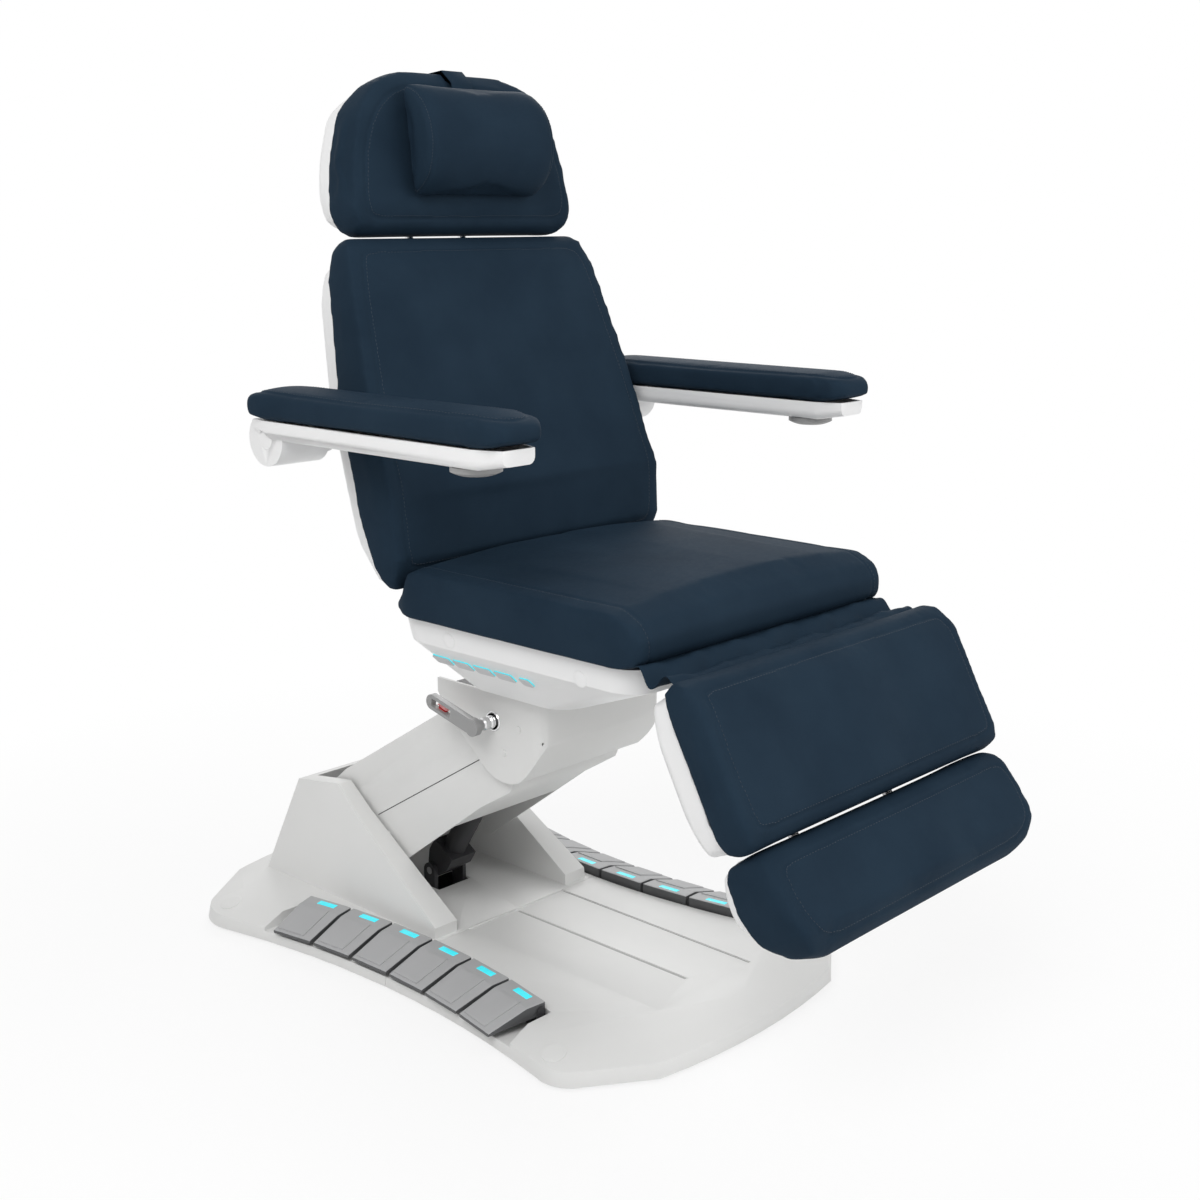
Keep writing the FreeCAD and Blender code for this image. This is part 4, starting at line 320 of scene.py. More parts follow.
def remeshed(mesh, name, voxel, shrink, ease=5):
    obj = bpy.data.objects.new(name, mesh)
    bpy.context.scene.collection.objects.link(obj)
    remesh = obj.modifiers.new("Remesh", "REMESH")
    remesh.mode = "VOXEL"
    remesh.voxel_size = voxel
    apply_modifiers(obj)
    soften = obj.modifiers.new("Ease", "SMOOTH")
    soften.iterations = ease
    soften.factor = 0.5
    apply_modifiers(obj)
    normals = [vertex.normal.copy() for vertex in obj.data.vertices]
    for vertex, normal in zip(obj.data.vertices, normals):
        vertex.co -= normal * shrink
    return obj


def inflate(obj, cap):
    """Swell a pad with cloth under pressure, and keep each point within a cap of its start."""
    start = [vertex.co.copy() for vertex in obj.data.vertices]
    cloth = obj.modifiers.new("Cloth", "CLOTH")
    settings = cloth.settings
    settings.use_pressure = True
    settings.uniform_pressure_force = CLOTH_PRESSURE
    settings.effector_weights.gravity = 0
    settings.tension_stiffness = CLOTH_STIFFNESS
    settings.compression_stiffness = CLOTH_STIFFNESS
    settings.bending_stiffness = CLOTH_BENDING
    cloth.point_cache.frame_start = 1
    cloth.point_cache.frame_end = CLOTH_FRAMES
    scene = bpy.context.scene
    for number in range(1, CLOTH_FRAMES + 1):
        scene.frame_set(number)
    apply_modifiers(obj)
    scene.frame_set(1)
    for vertex, before in zip(obj.data.vertices, start):
        move = vertex.co - before
        if move.length > cap:
            vertex.co = before + move.normalized() * cap
    return obj


def divided(obj):
    divide = obj.modifiers.new("Divide", "SUBSURF")
    divide.levels = 1
    divide.render_levels = 1
    apply_modifiers(obj)
    return smooth(obj, 180)


def span(mesh, direction):
    reach = [v.co.dot(direction) for v in mesh.vertices]
    return min(reach), max(reach)


def fit(obj, mesh, up, grow):
    """Stretch a swollen pad to its solid's reach on three axes, with a little growth at its ends."""
    axes = (ACROSS, up, ACROSS.cross(up))
    scales = []
    for axis in axes:
        low, high = span(obj.data, axis)
        goal_low, goal_high = span(mesh, axis)
        if axis is up:
            goal_low -= grow[0]
            goal_high += grow[1]
        share = (goal_high - goal_low) / (high - low)
        scales.append((axis, low, goal_low, share))
    for vertex in obj.data.vertices:
        spot = vertex.co.copy()
        parts = (axis * (goal + (spot.dot(axis) - low) * share) for axis, low, goal, share in scales)
        vertex.co = sum(parts, Vector())
    obj.data.update()


def upholster(node, name, cap, shrink, ease, up, mesh=None, grow=(0, 0)):
    """A cushion from its CAD solid: remeshed, swollen, fitted and divided once."""
    solid = mesh or node_mesh(node)
    obj = remeshed(solid.copy(), name, VOXEL, shrink, ease)
    inflate(obj, cap)
    fit(obj, solid, up, grow)
    divided(obj)
    paint(obj, LEATHER)
    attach(obj, BODY_OF[node])
    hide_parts(node)
    return obj


def surface(obj):
    return BVHTree.FromPolygons([v.co for v in obj.data.vertices], [p.vertices for p in obj.data.polygons])


def cast(tree, start, direction):
    place, normal, index, distance = tree.ray_cast(start, direction)
    return place


def hull(points):
    """The convex outline of points in a plane."""
    points = sorted(set(points))
    halves = []
    for ordered in (points, points[::-1]):
        half = []
        for p in ordered:
            while len(half) > 1:
                (ax, ay), (bx, by) = half[-2], half[-1]
                if (bx - ax) * (p[1] - ay) - (by - ay) * (p[0] - ax) > 0:
                    break
                half.pop()
            half.append(p)
        halves.append(half[:-1])
    return halves[0] + halves[1]


def even(points, step, closed):
    """The same line with evenly spaced points."""
    points = [Vector(p) for p in points]
    if closed:
        points = points + points[:1]
    reach = [0]
    for p, q in zip(points, points[1:]):
        reach.append(reach[-1] + (q - p).length)
    count = max(2, round(reach[-1] / step))
    spots = []
    at = 0
    for number in range(count if closed else count + 1):
        goal = reach[-1] * number / count
        while at < len(reach) - 2 and reach[at + 1] < goal:
            at += 1
        span = reach[at + 1] - reach[at]
        spots.append(points[at].lerp(points[at + 1], (goal - reach[at]) / span if span else 0))
    return spots


def eased(points, rounds, closed=True):
    for number in range(rounds):
        ends = (points[0], points[-1])
        count = len(points)
        points = [(points[i - 1] + points[i] * 2 + points[(i + 1) % count]) / 4 for i in range(count)]
        if not closed:
            points[0], points[-1] = ends
    return points


def face_loop(obj, up, inset, rounds=30):
    """A closed line on the front face of a pad, a steady way inside its outline."""
    front = ACROSS.cross(up)
    flat = hull([(round(v.co.x, 4), round(v.co.dot(up), 4)) for v in obj.data.vertices])
    rim = even([(u, w, 0) for u, w in flat], 6 * MM, True)
    rim = eased(rim, rounds)
    line = []
    for number, spot in enumerate(rim):
        along_rim = (rim[(number + 1) % len(rim)] - rim[number - 1]).normalized()
        line.append(spot + Vector((-along_rim.y, along_rim.x, 0)) * inset)
    depth = max(v.co.dot(front) for v in obj.data.vertices) + 0.05
    tree = surface(obj)
    spots = []
    for spot in line:
        place = cast(tree, ACROSS * spot.x + up * spot.y + front * depth, -front)
        if place:
            spots.append(place)
    return even(eased(spots, 2), 1.5 * MM, True)


def sink(obj, line, depth, radius):
    """Draw the leather in along a seam."""
    finder = KDTree(len(line))
    for number, spot in enumerate(line):
        finder.insert(spot, number)
    finder.balance()
    moves = []
    for vertex in obj.data.vertices:
        spot, number, distance = finder.find(vertex.co)
        if distance < radius:
            moves.append((vertex, vertex.normal * depth * (1 - distance / radius) ** 2))
    for vertex, move in moves:
        vertex.co -= move
    obj.data.update()


def stitched(name, obj, node, line, closed, offset, pitch=6.5 * MM, length=4.2 * MM, radius=0.55 * MM):
    """A row of stitches beside a seam."""
    tree = surface(obj)
    spots = even(line, pitch, closed)
    work = bmesh.new()
    last = len(spots) if closed else len(spots) - 1
    for number in range(last):
        ahead = (spots[(number + 1) % len(spots)] - spots[number]).normalized()
        place, normal, index, distance = tree.find_nearest(spots[number])
        side = normal.cross(ahead).normalized()
        place, normal, index, distance = tree.find_nearest(place + side * offset)
        side = normal.cross(ahead).normalized()
        middle = place + normal * radius * 0.2
        rings = []
        for share, size in ((-0.5, 0.35), (-0.25, 1.0), (0.25, 1.0), (0.5, 0.35)):
            ring = []
            for corner in range(5):
                turn = math.tau * corner / 5
                spread = side * math.cos(turn) + normal * math.sin(turn)
                dip = normal * radius * 0.9 * (1 - size)
                ring.append(work.verts.new(middle + ahead * length * share + spread * radius * size - dip))
            rings.append(ring)
        for low, high in zip(rings, rings[1:]):
            for corner in range(5):
                work.faces.new((low[corner - 1], low[corner], high[corner], high[corner - 1]))
        work.faces.new(rings[0])
        work.faces.new(rings[-1][::-1])
    bmesh.ops.recalc_face_normals(work, faces=work.faces)
    mesh = bpy.data.meshes.new(name)
    work.to_mesh(mesh)
    work.free()
    return smooth(piece(name, mesh, BODY_OF[node], SLOT_OF[node], STITCH), 60)


def dent(obj, up, centre, reach, depth):
    """Press a soft hollow into the front face of a pad."""
    front = ACROSS.cross(up)
    moves = []
    for vertex in obj.data.vertices:
        facing = vertex.normal.dot(front)
        if facing > 0.2:
            across = (vertex.co.x - centre[0]) / reach[0]
            along = (vertex.co.dot(up) - centre[1]) / reach[1]
            moves.append((vertex, front * depth * math.exp(-across ** 2 - along ** 2) * min(1, facing)))
    for vertex, move in moves:
        vertex.co -= move
    obj.data.update()


CUSHIONS = {
    "seat_cushion": (2.5 * MM, 2 * MM, 0.9, 4, REARWARD),
    "back_cushion": (2.5 * MM, 2 * MM, 0.85, 7, BACK_UP),
    "head_cushion": (2.5 * MM, 2 * MM, 0.85, 10, HEAD_UP),
    "leg_cushion": (2.5 * MM, 2 * MM, 0.85, 6, LEG_UP),
    "foot_cushion": (2.5 * MM, 2 * MM, 0.85, 6, LEG_UP),
    "left_arm_pad": (4 * MM, 1 * MM, 0.95, 6, REARWARD),
    "right_arm_pad": (4 * MM, 1 * MM, 0.95, 6, REARWARD),
}
# Growth at the low and high ends, where two cushions meet closely
END_GROWTH = {
    "back_cushion": (0, 5 * MM),
    "head_cushion": (5 * MM, 0),
    "leg_cushion": (1.2 * MM, 6 * MM),
    "foot_cushion": (0, 1.2 * MM),
}
pads = {}
for node_name, (cap, shrink, fill, ease, up) in CUSHIONS.items():
    grow = END_GROWTH.get(node_name, (0, 0))
    pads[node_name] = upholster(node_name, f"{node_name}_leather", cap, shrink, ease, up, None, grow)


BACK_HOLLOW_SHARES = (-0.22, 0.02, 0.26)
BACK_HOLLOW_HALF = 0.15
LEG_HOLLOW_X = 0.125
LEG_HOLLOW_HALF = 0.085


def back_form():
    """A shallow trough between the side bolsters."""
    obj = pads["back_cushion"]
    low, high = span(obj.data, BACK_UP)
    middle = (low + high) / 2
    reach = (BACK_HOLLOW_HALF, (high - low) * 0.2)
    for share in BACK_HOLLOW_SHARES:
        dent(obj, BACK_UP, (0, middle + (high - low) * share), reach, 5 * MM)


def leg_form(node, along_share, reach_share, depth):
    """A shallow hollow for each leg."""
    obj = pads[node]
    low, high = span(obj.data, LEG_UP)
    for side in (-1, 1):
        centre = (LEG_HOLLOW_X * side, low + (high - low) * along_share)
        dent(obj, LEG_UP, centre, (LEG_HOLLOW_HALF, (high - low) * reach_share), depth)


def round_outline(obj, up, rounds):
    """Draw the facets of a pad's outline into one smooth curve, seen from its front."""
    flat = hull([(round(v.co.x, 4), round(v.co.dot(up), 4)) for v in obj.data.vertices])
    rim = even([(u, w, 0) for u, w in flat], 4 * MM, True)
    middle = sum(rim, Vector()) / len(rim)
    turns = [(math.atan2(spot.y - middle.y, spot.x - middle.x), number) for number, spot in enumerate(rim)]
    turns.sort()
    curve = eased(rim, rounds)
    shares = [((curve[number] - middle).length / (rim[number] - middle).length) for turn, number in turns]
    angles = [turn for turn, number in turns]
    moves = []
    for vertex in obj.data.vertices:
        across = vertex.co.x - middle.x
        along = vertex.co.dot(up) - middle.y
        at = bisect.bisect(angles, math.atan2(along, across)) % len(angles)
        moves.append((vertex, (ACROSS * across + up * along) * (shares[at] - 1)))
    for vertex, move in moves:
        vertex.co += move
    obj.data.update()


round_outline(pads["head_cushion"], HEAD_UP, 60)
round_outline(pads["foot_cushion"], LEG_UP, 40)
round_outline(pads["leg_cushion"], LEG_UP, 15)
back_form()
leg_form("leg_cushion", 0.5, 0.42, 8 * MM)
leg_form("foot_cushion", 0.55, 0.35, 7 * MM)

SEAM_DEPTH = 1.8 * MM
SEAM_REACH = 7 * MM
STITCH_OFFSET = 5 * MM
FACE_SEAMS = {
    "back_cushion": (BACK_UP, 26 * MM),
    "head_cushion": (HEAD_UP, 24 * MM),
    "leg_cushion": (LEG_UP, 24 * MM),
    "foot_cushion": (LEG_UP, 22 * MM),
    "left_arm_pad": (REARWARD, 11 * MM),
    "right_arm_pad": (REARWARD, 11 * MM),
}
for node_name, (up, inset) in FACE_SEAMS.items():
    seam = face_loop(pads[node_name], up, inset)
    sink(pads[node_name], seam, SEAM_DEPTH, SEAM_REACH)
    stitched(f"{node_name}_stitches", pads[node_name], node_name, seam, True, STITCH_OFFSET)


SEAT_SEAM_INSET = 36 * MM


def seat_seam(side):
    """From the rear along the seat's edge, then down over its front corner."""
    obj = pads["seat_cushion"]
    tree = surface(obj)
    low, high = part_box("seat_cushion")
    x = (high[0] - SEAT_SEAM_INSET) * side
    spots = []
    for number in range(41):
        y = high[1] - 14 * MM - (high[1] - low[1] - 60 * MM) * number / 40
        spots.append(cast(tree, Vector((x, y, high[2] + FAR)), -UPWARD))
    for number in range(21):
        z = high[2] - 40 * MM - (high[2] - low[2] - 50 * MM) * number / 20
        spots.append(cast(tree, Vector((x, low[1] - FAR, z)), -AHEAD))
    spots = [spot for spot in spots if spot]
    return even(eased(even(spots, 3 * MM, False), 20, False), 1.5 * MM, False)


for side, side_name in ((1, "left"), (-1, "right")):
    seam = seat_seam(side)
    sink(pads["seat_cushion"], seam, 2.0 * MM, 8 * MM)
    stitched(f"{side_name}_seat_stitches", pads["seat_cushion"], "seat_cushion", seam, False, STITCH_OFFSET * side)


# Neck roll and its strap
def loose_parts(node):
    """The separate solids of a node, largest first."""
    work = bmesh.new()
    work.from_mesh(node_mesh(node))
    left = set(work.verts)
    groups = []
    while left:
        queue = [left.pop()]
        group = set(queue)
        while queue:
            for edge in queue.pop().link_edges:
                for vertex in edge.verts:
                    if vertex in left:
                        left.discard(vertex)
                        group.add(vertex)
                        queue.append(vertex)
        groups.append(group)
    meshes = []
    for group in sorted(groups, key=lambda g: -sum(f.calc_area() for f in work.faces if f.verts[0] in g)):
        number = {vertex: count for count, vertex in enumerate(group)}
        mesh = bpy.data.meshes.new(node)
        faces = [[number[v] for v in f.verts] for f in work.faces if f.verts[0] in group]
        mesh.from_pydata([tuple(v.co) for v in group], [], faces)
        meshes.append(mesh)
    work.free()
    return meshes


def end_ring(obj, x):
    """The line where a plane across the roll meets its cover."""
    tree = surface(obj)
    middle = sum((v.co for v in obj.data.vertices), Vector()) / len(obj.data.vertices)
    spots = []
    for number in range(120):
        turn = math.tau * number / 120
        out = Vector((0, math.cos(turn), math.sin(turn)))
        place = cast(tree, Vector((x, middle.y, middle.z)) + out * FAR, -out)
        if place:
            spots.append(place)
    return even(spots, 1.5 * MM, True)


roll_parts = loose_parts("neck_roll")
roll = upholster("neck_roll", "neck_roll_leather", 5 * MM, 2 * MM, 6, HEAD_UP, roll_parts[0])
roll_low, roll_high = span(roll.data, ACROSS)
for side, side_name in ((1, "left"), (-1, "right")):
    ring = end_ring(roll, (roll_high if side > 0 else roll_low) - 13 * MM * side)
    sink(roll, ring, 1.6 * MM, 6 * MM)
    stitched(f"{side_name}_roll_stitches", roll, "neck_roll", ring, True, 4 * MM * side, 5 * MM, 3.2 * MM)
for part in roll_parts[1:]:
    strap = piece("neck_roll_strap", part, BODY_OF["neck_roll"], SLOT_OF["neck_roll"], LEATHER, "neck_roll")
    bevel = strap.modifiers.new("Round", "BEVEL")
    bevel.width = 1.2 * MM
    bevel.segments = 2
    bevel.limit_method = "ANGLE"
    bevel.angle_limit = math.radians(40)
    apply_modifiers(strap)
    smooth(strap, 40)


# Gathered leather between seat and legrest
FLAP_COLUMNS = 90
FLAP_ROWS = 16
FLAP_MARGIN = 12 * MM
FLAP_SEAT_RISE = 9 * MM
FLAP_LEG_DEPTH = 58 * MM
FLAP_SINK = -6 * MM
FLAP_RUFFLE = 6.5 * MM
FLAP_THICKNESS = 1.6 * MM


def flap():
    """A ruffled sheet from the seat's lower front edge to the top of the legrest."""
    seat_tree = surface(pads["seat_cushion"])
    leg_tree = surface(pads["leg_cushion"])
    seat_low, seat_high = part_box("seat_cushion")
    leg_front = ACROSS.cross(LEG_UP)
    leg_top = span(pads["leg_cushion"].data, LEG_UP)[1]
    leg_depth = span(pads["leg_cushion"].data, leg_front)[1]
    half = min(seat_high[0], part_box("leg_cushion")[1][0]) - FLAP_MARGIN
    columns = FLAP_COLUMNS
    rows = FLAP_ROWS
    points = []
    for column in range(columns + 1):
        x = -half + 2 * half * column / columns
        inside = x * 0.9
        top = cast(seat_tree, Vector((inside, seat_low[1] - FAR, seat_low[2] + FLAP_SEAT_RISE)), -AHEAD)
        start = ACROSS * inside + LEG_UP * (leg_top + 0.05) + leg_front * (leg_depth - FLAP_LEG_DEPTH)
        foot = cast(leg_tree, start, -LEG_UP)
        top.x = x
        foot.x = x
        across = (foot - top)
        out = Vector((0, across.z, -across.y)).normalized()
        if out.y > 0:
            out = -out
        ruffle = 1 + 0.35 * math.sin(x * 61) + 0.25 * math.sin(x * 143 + 1) + 0.9 * (abs(x) / half) ** 6
        for row in range(rows + 1):
            share = row / rows
            fold = math.sin(share * math.pi * 3 + 0.5 * math.sin(x * 37)) * math.sin(share * math.pi) ** 0.5
            swell = FLAP_SINK * math.sin(share * math.pi)
            points.append(top + across * share + out * (1.5 * MM + swell + FLAP_RUFFLE * ruffle * fold))
    faces = []
    for column in range(columns):
        for row in range(rows):
            start = column * (rows + 1) + row
            faces.append((start, start + 1, start + rows + 2, start + rows + 1))
    mesh = bpy.data.meshes.new("seat_to_leg_flap")
    mesh.from_pydata([tuple(p) for p in points], [], faces)
    obj = bpy.data.objects.new("seat_to_leg_flap", mesh)
    bpy.context.scene.collection.objects.link(obj)
    thick = obj.modifiers.new("Thick", "SOLIDIFY")
    thick.thickness = FLAP_THICKNESS
    apply_modifiers(obj)
    divided(obj)
    paint(obj, LEATHER)
    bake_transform(obj)


flap()


# Moulded covers
def eased_shell(node, name, spacing=10 * MM, rounds=24):
    """A moulded shell: the CAD form divided finely and eased, so that its outline runs smoothly."""
    slot = SLOT_OF[node]
    obj = piece(name, NODES[node].data.copy(), BODY_OF[node], slot, SLOT_MATERIAL[slot], node)
    work = bmesh.new()
    work.from_mesh(obj.data)
    bmesh.ops.remove_doubles(work, verts=work.verts, dist=0.01 * MM)
    for number in range(7):
        long_edges = [edge for edge in work.edges if edge.calc_length() > spacing]
        if not long_edges:
            break
        bmesh.ops.subdivide_edges(work, edges=long_edges, cuts=1)
        bmesh.ops.triangulate(work, faces=work.faces)
    for number in range(rounds):
        bmesh.ops.smooth_vert(work, verts=work.verts, factor=0.5,
                              use_axis_x=True, use_axis_y=True, use_axis_z=True)
    work.to_mesh(obj.data)
    work.free()
    return smooth(obj, 50)


covers = {}
for node_name in ("back_shell", "head_shell", "leg_shell", "foot_shell"):
    covers[node_name] = eased_shell(node_name, f"{node_name}_moulding")
for node_name, radius in (
    ("lift_arm_cover", 6 * MM),
    ("column_cover", 3 * MM),
    ("seat_pan", 4 * MM),
    ("left_arm_tray", 1.5 * MM),
    ("right_arm_tray", 1.5 * MM),
    ("base_front_cover", 4 * MM),
    ("base_rear_cover", 7 * MM),
    ("lock_lever", 2 * MM),
):
    covers[node_name] = softened(node_name, f"{node_name}_moulding", radius)


# Small trim
def lathe(name, node, centre, normal, profile, material, sides=40):
    """A turned piece whose axis stands on a surface."""
    turn = normal.to_track_quat("Z", "Y").to_matrix()
    work = bmesh.new()
    rings = []
    for radius, height in profile:
        ring = []
        for number in range(sides):
            angle = math.tau * number / sides
            spot = Vector((radius * math.cos(angle), radius * math.sin(angle), height))
            ring.append(work.verts.new(centre + turn @ spot))
        rings.append(ring)
    for low, high in zip(rings, rings[1:]):
        for number in range(sides):
            work.faces.new((low[number - 1], low[number], high[number], high[number - 1]))
    work.faces.new(rings[0][::-1])
    work.faces.new(rings[-1])
    bmesh.ops.recalc_face_normals(work, faces=work.faces)
    mesh = bpy.data.meshes.new(name)
    work.to_mesh(mesh)
    work.free()
    return smooth(piece(name, mesh, BODY_OF[node], SLOT_OF[node], material), 35)


def cap(name, node, start, direction, radius, height, material):
    """A shallow domed screw cap where a line meets a cover."""
    tree = surface(covers[node])
    place, normal, index, distance = tree.ray_cast(Vector(start), Vector(direction))
    profile = [(radius, -1 * MM), (radius, height * 0.35), (radius * 0.93, height * 0.75)]
    profile += [(radius * 0.6, height * 0.95), (radius * 0.1, height)]
    return lathe(name, node, place, normal, profile, material)


def ribbon(name, node, starts, direction, width, material):
    """A thin dark line laid on a cover along points cast onto it."""
    tree = surface(covers[node])
    spots = []
    for start in starts:
        place, normal, index, distance = tree.ray_cast(Vector(start), Vector(direction))
        if place:
            spots.append((place, normal))
    points = []
    for number, (place, normal) in enumerate(spots):
        ahead = spots[min(number + 1, len(spots) - 1)][0] - spots[max(number - 1, 0)][0]
        side = normal.cross(ahead).normalized() * width / 2
        for share, lift in ((-1, -0.4), (-1, 0.15), (1, 0.15), (1, -0.4)):
            points.append(place + side * share + normal * lift * MM)
    faces = [(3, 2, 1, 0), tuple(len(points) - 4 + k for k in range(4))]
    for number in range(len(spots) - 1):
        for corner in range(4):
            start = number * 4
            follow = (corner + 1) % 4
            faces.append((start + corner, start + follow, start + 4 + follow, start + 4 + corner))
    mesh = bpy.data.meshes.new(name)
    mesh.from_pydata([tuple(p) for p in points], [], faces)
    return piece(name, mesh, BODY_OF[node], SLOT_OF[node], material)


ARM_FOOT = Vector((0, 0.470, 0.165))
ARM_ALONG = Vector((0, -405, 250.1)).normalized()
ARM_RISE = Vector((0, -ARM_ALONG.z, ARM_ALONG.y)) * -1


def on_arm(along, rise):
    return ARM_FOOT + ARM_ALONG * along * MM + ARM_RISE * rise * MM


# Places in millimetres
BASE_CAPS = ((327, 552, "base_rear_cover"), (316, -269, "base_front_cover"))
PAN_CAPS = ((-14, 628), (-293, 621))
COLUMN_CAPS = ((-24, 454), (11, 407))
ARM_CAPS = ((48, 4), (120, -64))
for side, side_name in ((1, "left"), (-1, "right")):
    inward = ACROSS * -side
    outside = ACROSS * side * FAR
    for number, (x, y, node_name) in enumerate(BASE_CAPS):
        start = Vector((x * MM * side, y * MM, FAR))
        cap(f"{side_name}_base_cap_{number + 1}", node_name, start, -UPWARD, 20 * MM, 1.6 * MM, COVER)
    for number, (y, z) in enumerate(PAN_CAPS):
        start = outside + Vector((0, y * MM, z * MM))
        cap(f"{side_name}_pan_cap_{number + 1}", "seat_pan", start, inward, 13 * MM, 1.4 * MM, SHELL)
    for number, (y, z) in enumerate(COLUMN_CAPS):
        start = outside + Vector((0, y * MM, z * MM))
        cap(f"{side_name}_column_cap_{number + 1}", "column_cover", start, inward, 6.5 * MM, 2 * MM, COVER)
    for number, (along, rise) in enumerate(ARM_CAPS):
        start = outside + on_arm(along, rise)
        cap(f"{side_name}_arm_cap_{number + 1}", "lift_arm_cover", start, inward, 6.5 * MM, 2 * MM, COVER)
    starts = [outside + on_arm(113 + 322 * n / 40, -24) for n in range(41)]
    ribbon(f"{side_name}_arm_line", "lift_arm_cover", starts, inward, 1.6 * MM, SHADOW_GAP)


# Arm hubs, lever socket and lever. Profiles are radius and height in millimetres
HUB_PROFILE = ((16, -6), (16, -0.4), (15, 0.6), (8, 1.2), (1, 1.4))
RING_PROFILE = ((17, -2), (17, 0.8), (16, 1.8), (14.2, 1.8), (13.6, 0), (13.6, -2))
KNUCKLE_PROFILE = ((9, 0), (11.5, 3), (11.5, 10), (9.5, 12), (9.5, 15), (11, 17), (11, 24), (8, 28), (2, 29))
BORE_ROOM = 1 * MM


def in_metres(profile):
    return [(radius * MM, height * MM) for radius, height in profile]


def ease_bore(side_name):
    """Open a tray's bore a little, so that its facets clear the pivot at every turn."""
    centre = Vector(JOINT[f"{side_name}_arm_flip"]["pos_m"])
    pivot = NODES[f"{side_name}_arm_bracket"].data
    tray = covers[f"{side_name}_arm_tray"].data
    low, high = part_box(f"{side_name}_arm_tray")
    inside = [v.co - centre for v in pivot.vertices if low[0] < v.co.x < high[0]]
    radius = max(math.hypot(away.y, away.z) for away in inside)
    for vertex in tray.vertices:
        away = vertex.co - centre
        reach = math.hypot(away.y, away.z)
        if reach < radius + BORE_ROOM:
            vertex.co += Vector((0, away.y, away.z)) * ((radius + BORE_ROOM) / reach - 1)
    tray.update()


def hub_cap(side, side_name):
    """A flush disc that closes the arm's bore."""
    node = f"{side_name}_arm_tray"
    place = Vector(JOINT[f"{side_name}_arm_flip"]["pos_m"])
    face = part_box(node)[1 if side > 0 else 0][0]
    tree = surface(covers[node])
    wall = tree.ray_cast(Vector((face + 0.1 * side, place.y - 17 * MM, place.z)), ACROSS * -side)[0]
    centre = Vector((wall.x if wall else face, place.y, place.z))
    lathe(f"{side_name}_arm_hub_cap", node, centre, ACROSS * side, in_metres(HUB_PROFILE), SHELL)


for side, side_name in ((1, "left"), (-1, "right")):
    ease_bore(side_name)
    hub_cap(side, side_name)

LEVER_AXIS = Vector(JOINT["lever_lift"]["pos_m"])
COLUMN_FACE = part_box("column_cover")[0][0]
ring_centre = Vector((COLUMN_FACE, LEVER_AXIS.y, LEVER_AXIS.z))
lathe("lever_socket_ring", "column_cover", ring_centre, -ACROSS, in_metres(RING_PROFILE), PLATED)
lathe("lever_knuckle", "lock_lever", ring_centre, -ACROSS, in_metres(KNUCKLE_PROFILE), PLATED)


def lever_insert():
    """A red tab in the lever's slot."""
    along = Vector((0, 0.9, 0.32)).normalized()
    across = ACROSS.cross(along)
    middle = Vector((-186 * MM, 112 * MM, 470 * MM))
    work = bmesh.new()
    bmesh.ops.create_cube(work, size=1)
    for vertex in work.verts:
        spot = vertex.co.copy()
        vertex.co = middle + along * spot.x * 20 * MM + across * spot.y * 8 * MM + ACROSS * spot.z * 7 * MM
    bmesh.ops.bevel(work, geom=work.edges[:], offset=2 * MM, segments=3, affect="EDGES", profile=0.5)
    bmesh.ops.recalc_face_normals(work, faces=work.faces)
    mesh = bpy.data.meshes.new("lever_insert")
    work.to_mesh(mesh)
    work.free()
    smooth(piece("lever_insert", mesh, BODY_OF["lock_lever"], SLOT_OF["lock_lever"], INSERT), 50)


lever_insert()


CORNER_RADIUS = 26 * MM
LINING_START = 86 * MM


def corner_lining(side, side_name):
    """The rounded upright corner of the column's front."""
    low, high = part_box("column_cover")
    radius = CORNER_RADIUS
    centre = Vector((high[0] - radius, low[1] + radius, 0))
    points = []
    rows = 12
    for share in (1, 0.88):
        for z in (low[2] + LINING_START, high[2] - 0.5 * MM):
            for number in range(rows + 1):
                turn = math.pi / 2 * number / rows
                out = (radius - 0.3 * MM) * share
                x = centre.x + out * math.cos(turn)
                points.append(Vector((x * side, centre.y - out * math.sin(turn), z)))
    count = rows + 1
    faces = []
    for number in range(rows):
        a = number
        b = number + 1
        for ring in ((0, 1), (3, 2), (2, 0), (1, 3)):
            faces.append((ring[0] * count + a, ring[0] * count + b, ring[1] * count + b, ring[1] * count + a))
    faces.append((0, count, 3 * count, 2 * count))
    faces.append((rows, 2 * count + rows, 3 * count + rows, count + rows))
    mesh = bpy.data.meshes.new(f"{side_name}_column_corner")
    mesh.from_pydata([tuple(p) for p in points], [], faces)
    work = bmesh.new()
    work.from_mesh(mesh)
    bmesh.ops.recalc_face_normals(work, faces=work.faces)
    work.to_mesh(mesh)
    work.free()
    name = f"{side_name}_column_corner"
    smooth(piece(name, mesh, BODY_OF["column_cover"], SLOT_OF["column_cover"], COVER), 40)


for side, side_name in ((1, "left"), (-1, "right")):
    corner_lining(side, side_name)


# Painted shade: dark lines laid along the deck recess's edges and its groove stand in for the shade that falls
# there
DECK_HALF = 0.117
DECK_REAR = 0.132
DECK_SIDE_END = -0.304
DECK_FRONT = -0.305
GROOVE_END = -0.262
EDGE_SHADE_WIDTH = 2 * MM
GROOVE_SHADE_WIDTH = 6 * MM


def painted_deck_shade(name, start, end, width, material):
    """A painted shade line on the deck between two places in plan, standing in for the shade along the recess's
    edges and groove.
    """
    starts = [Vector(start).lerp(Vector(end), n / 60) + UPWARD * FAR for n in range(61)]
    ribbon(name, "base_front_cover", starts, -UPWARD, width, material)


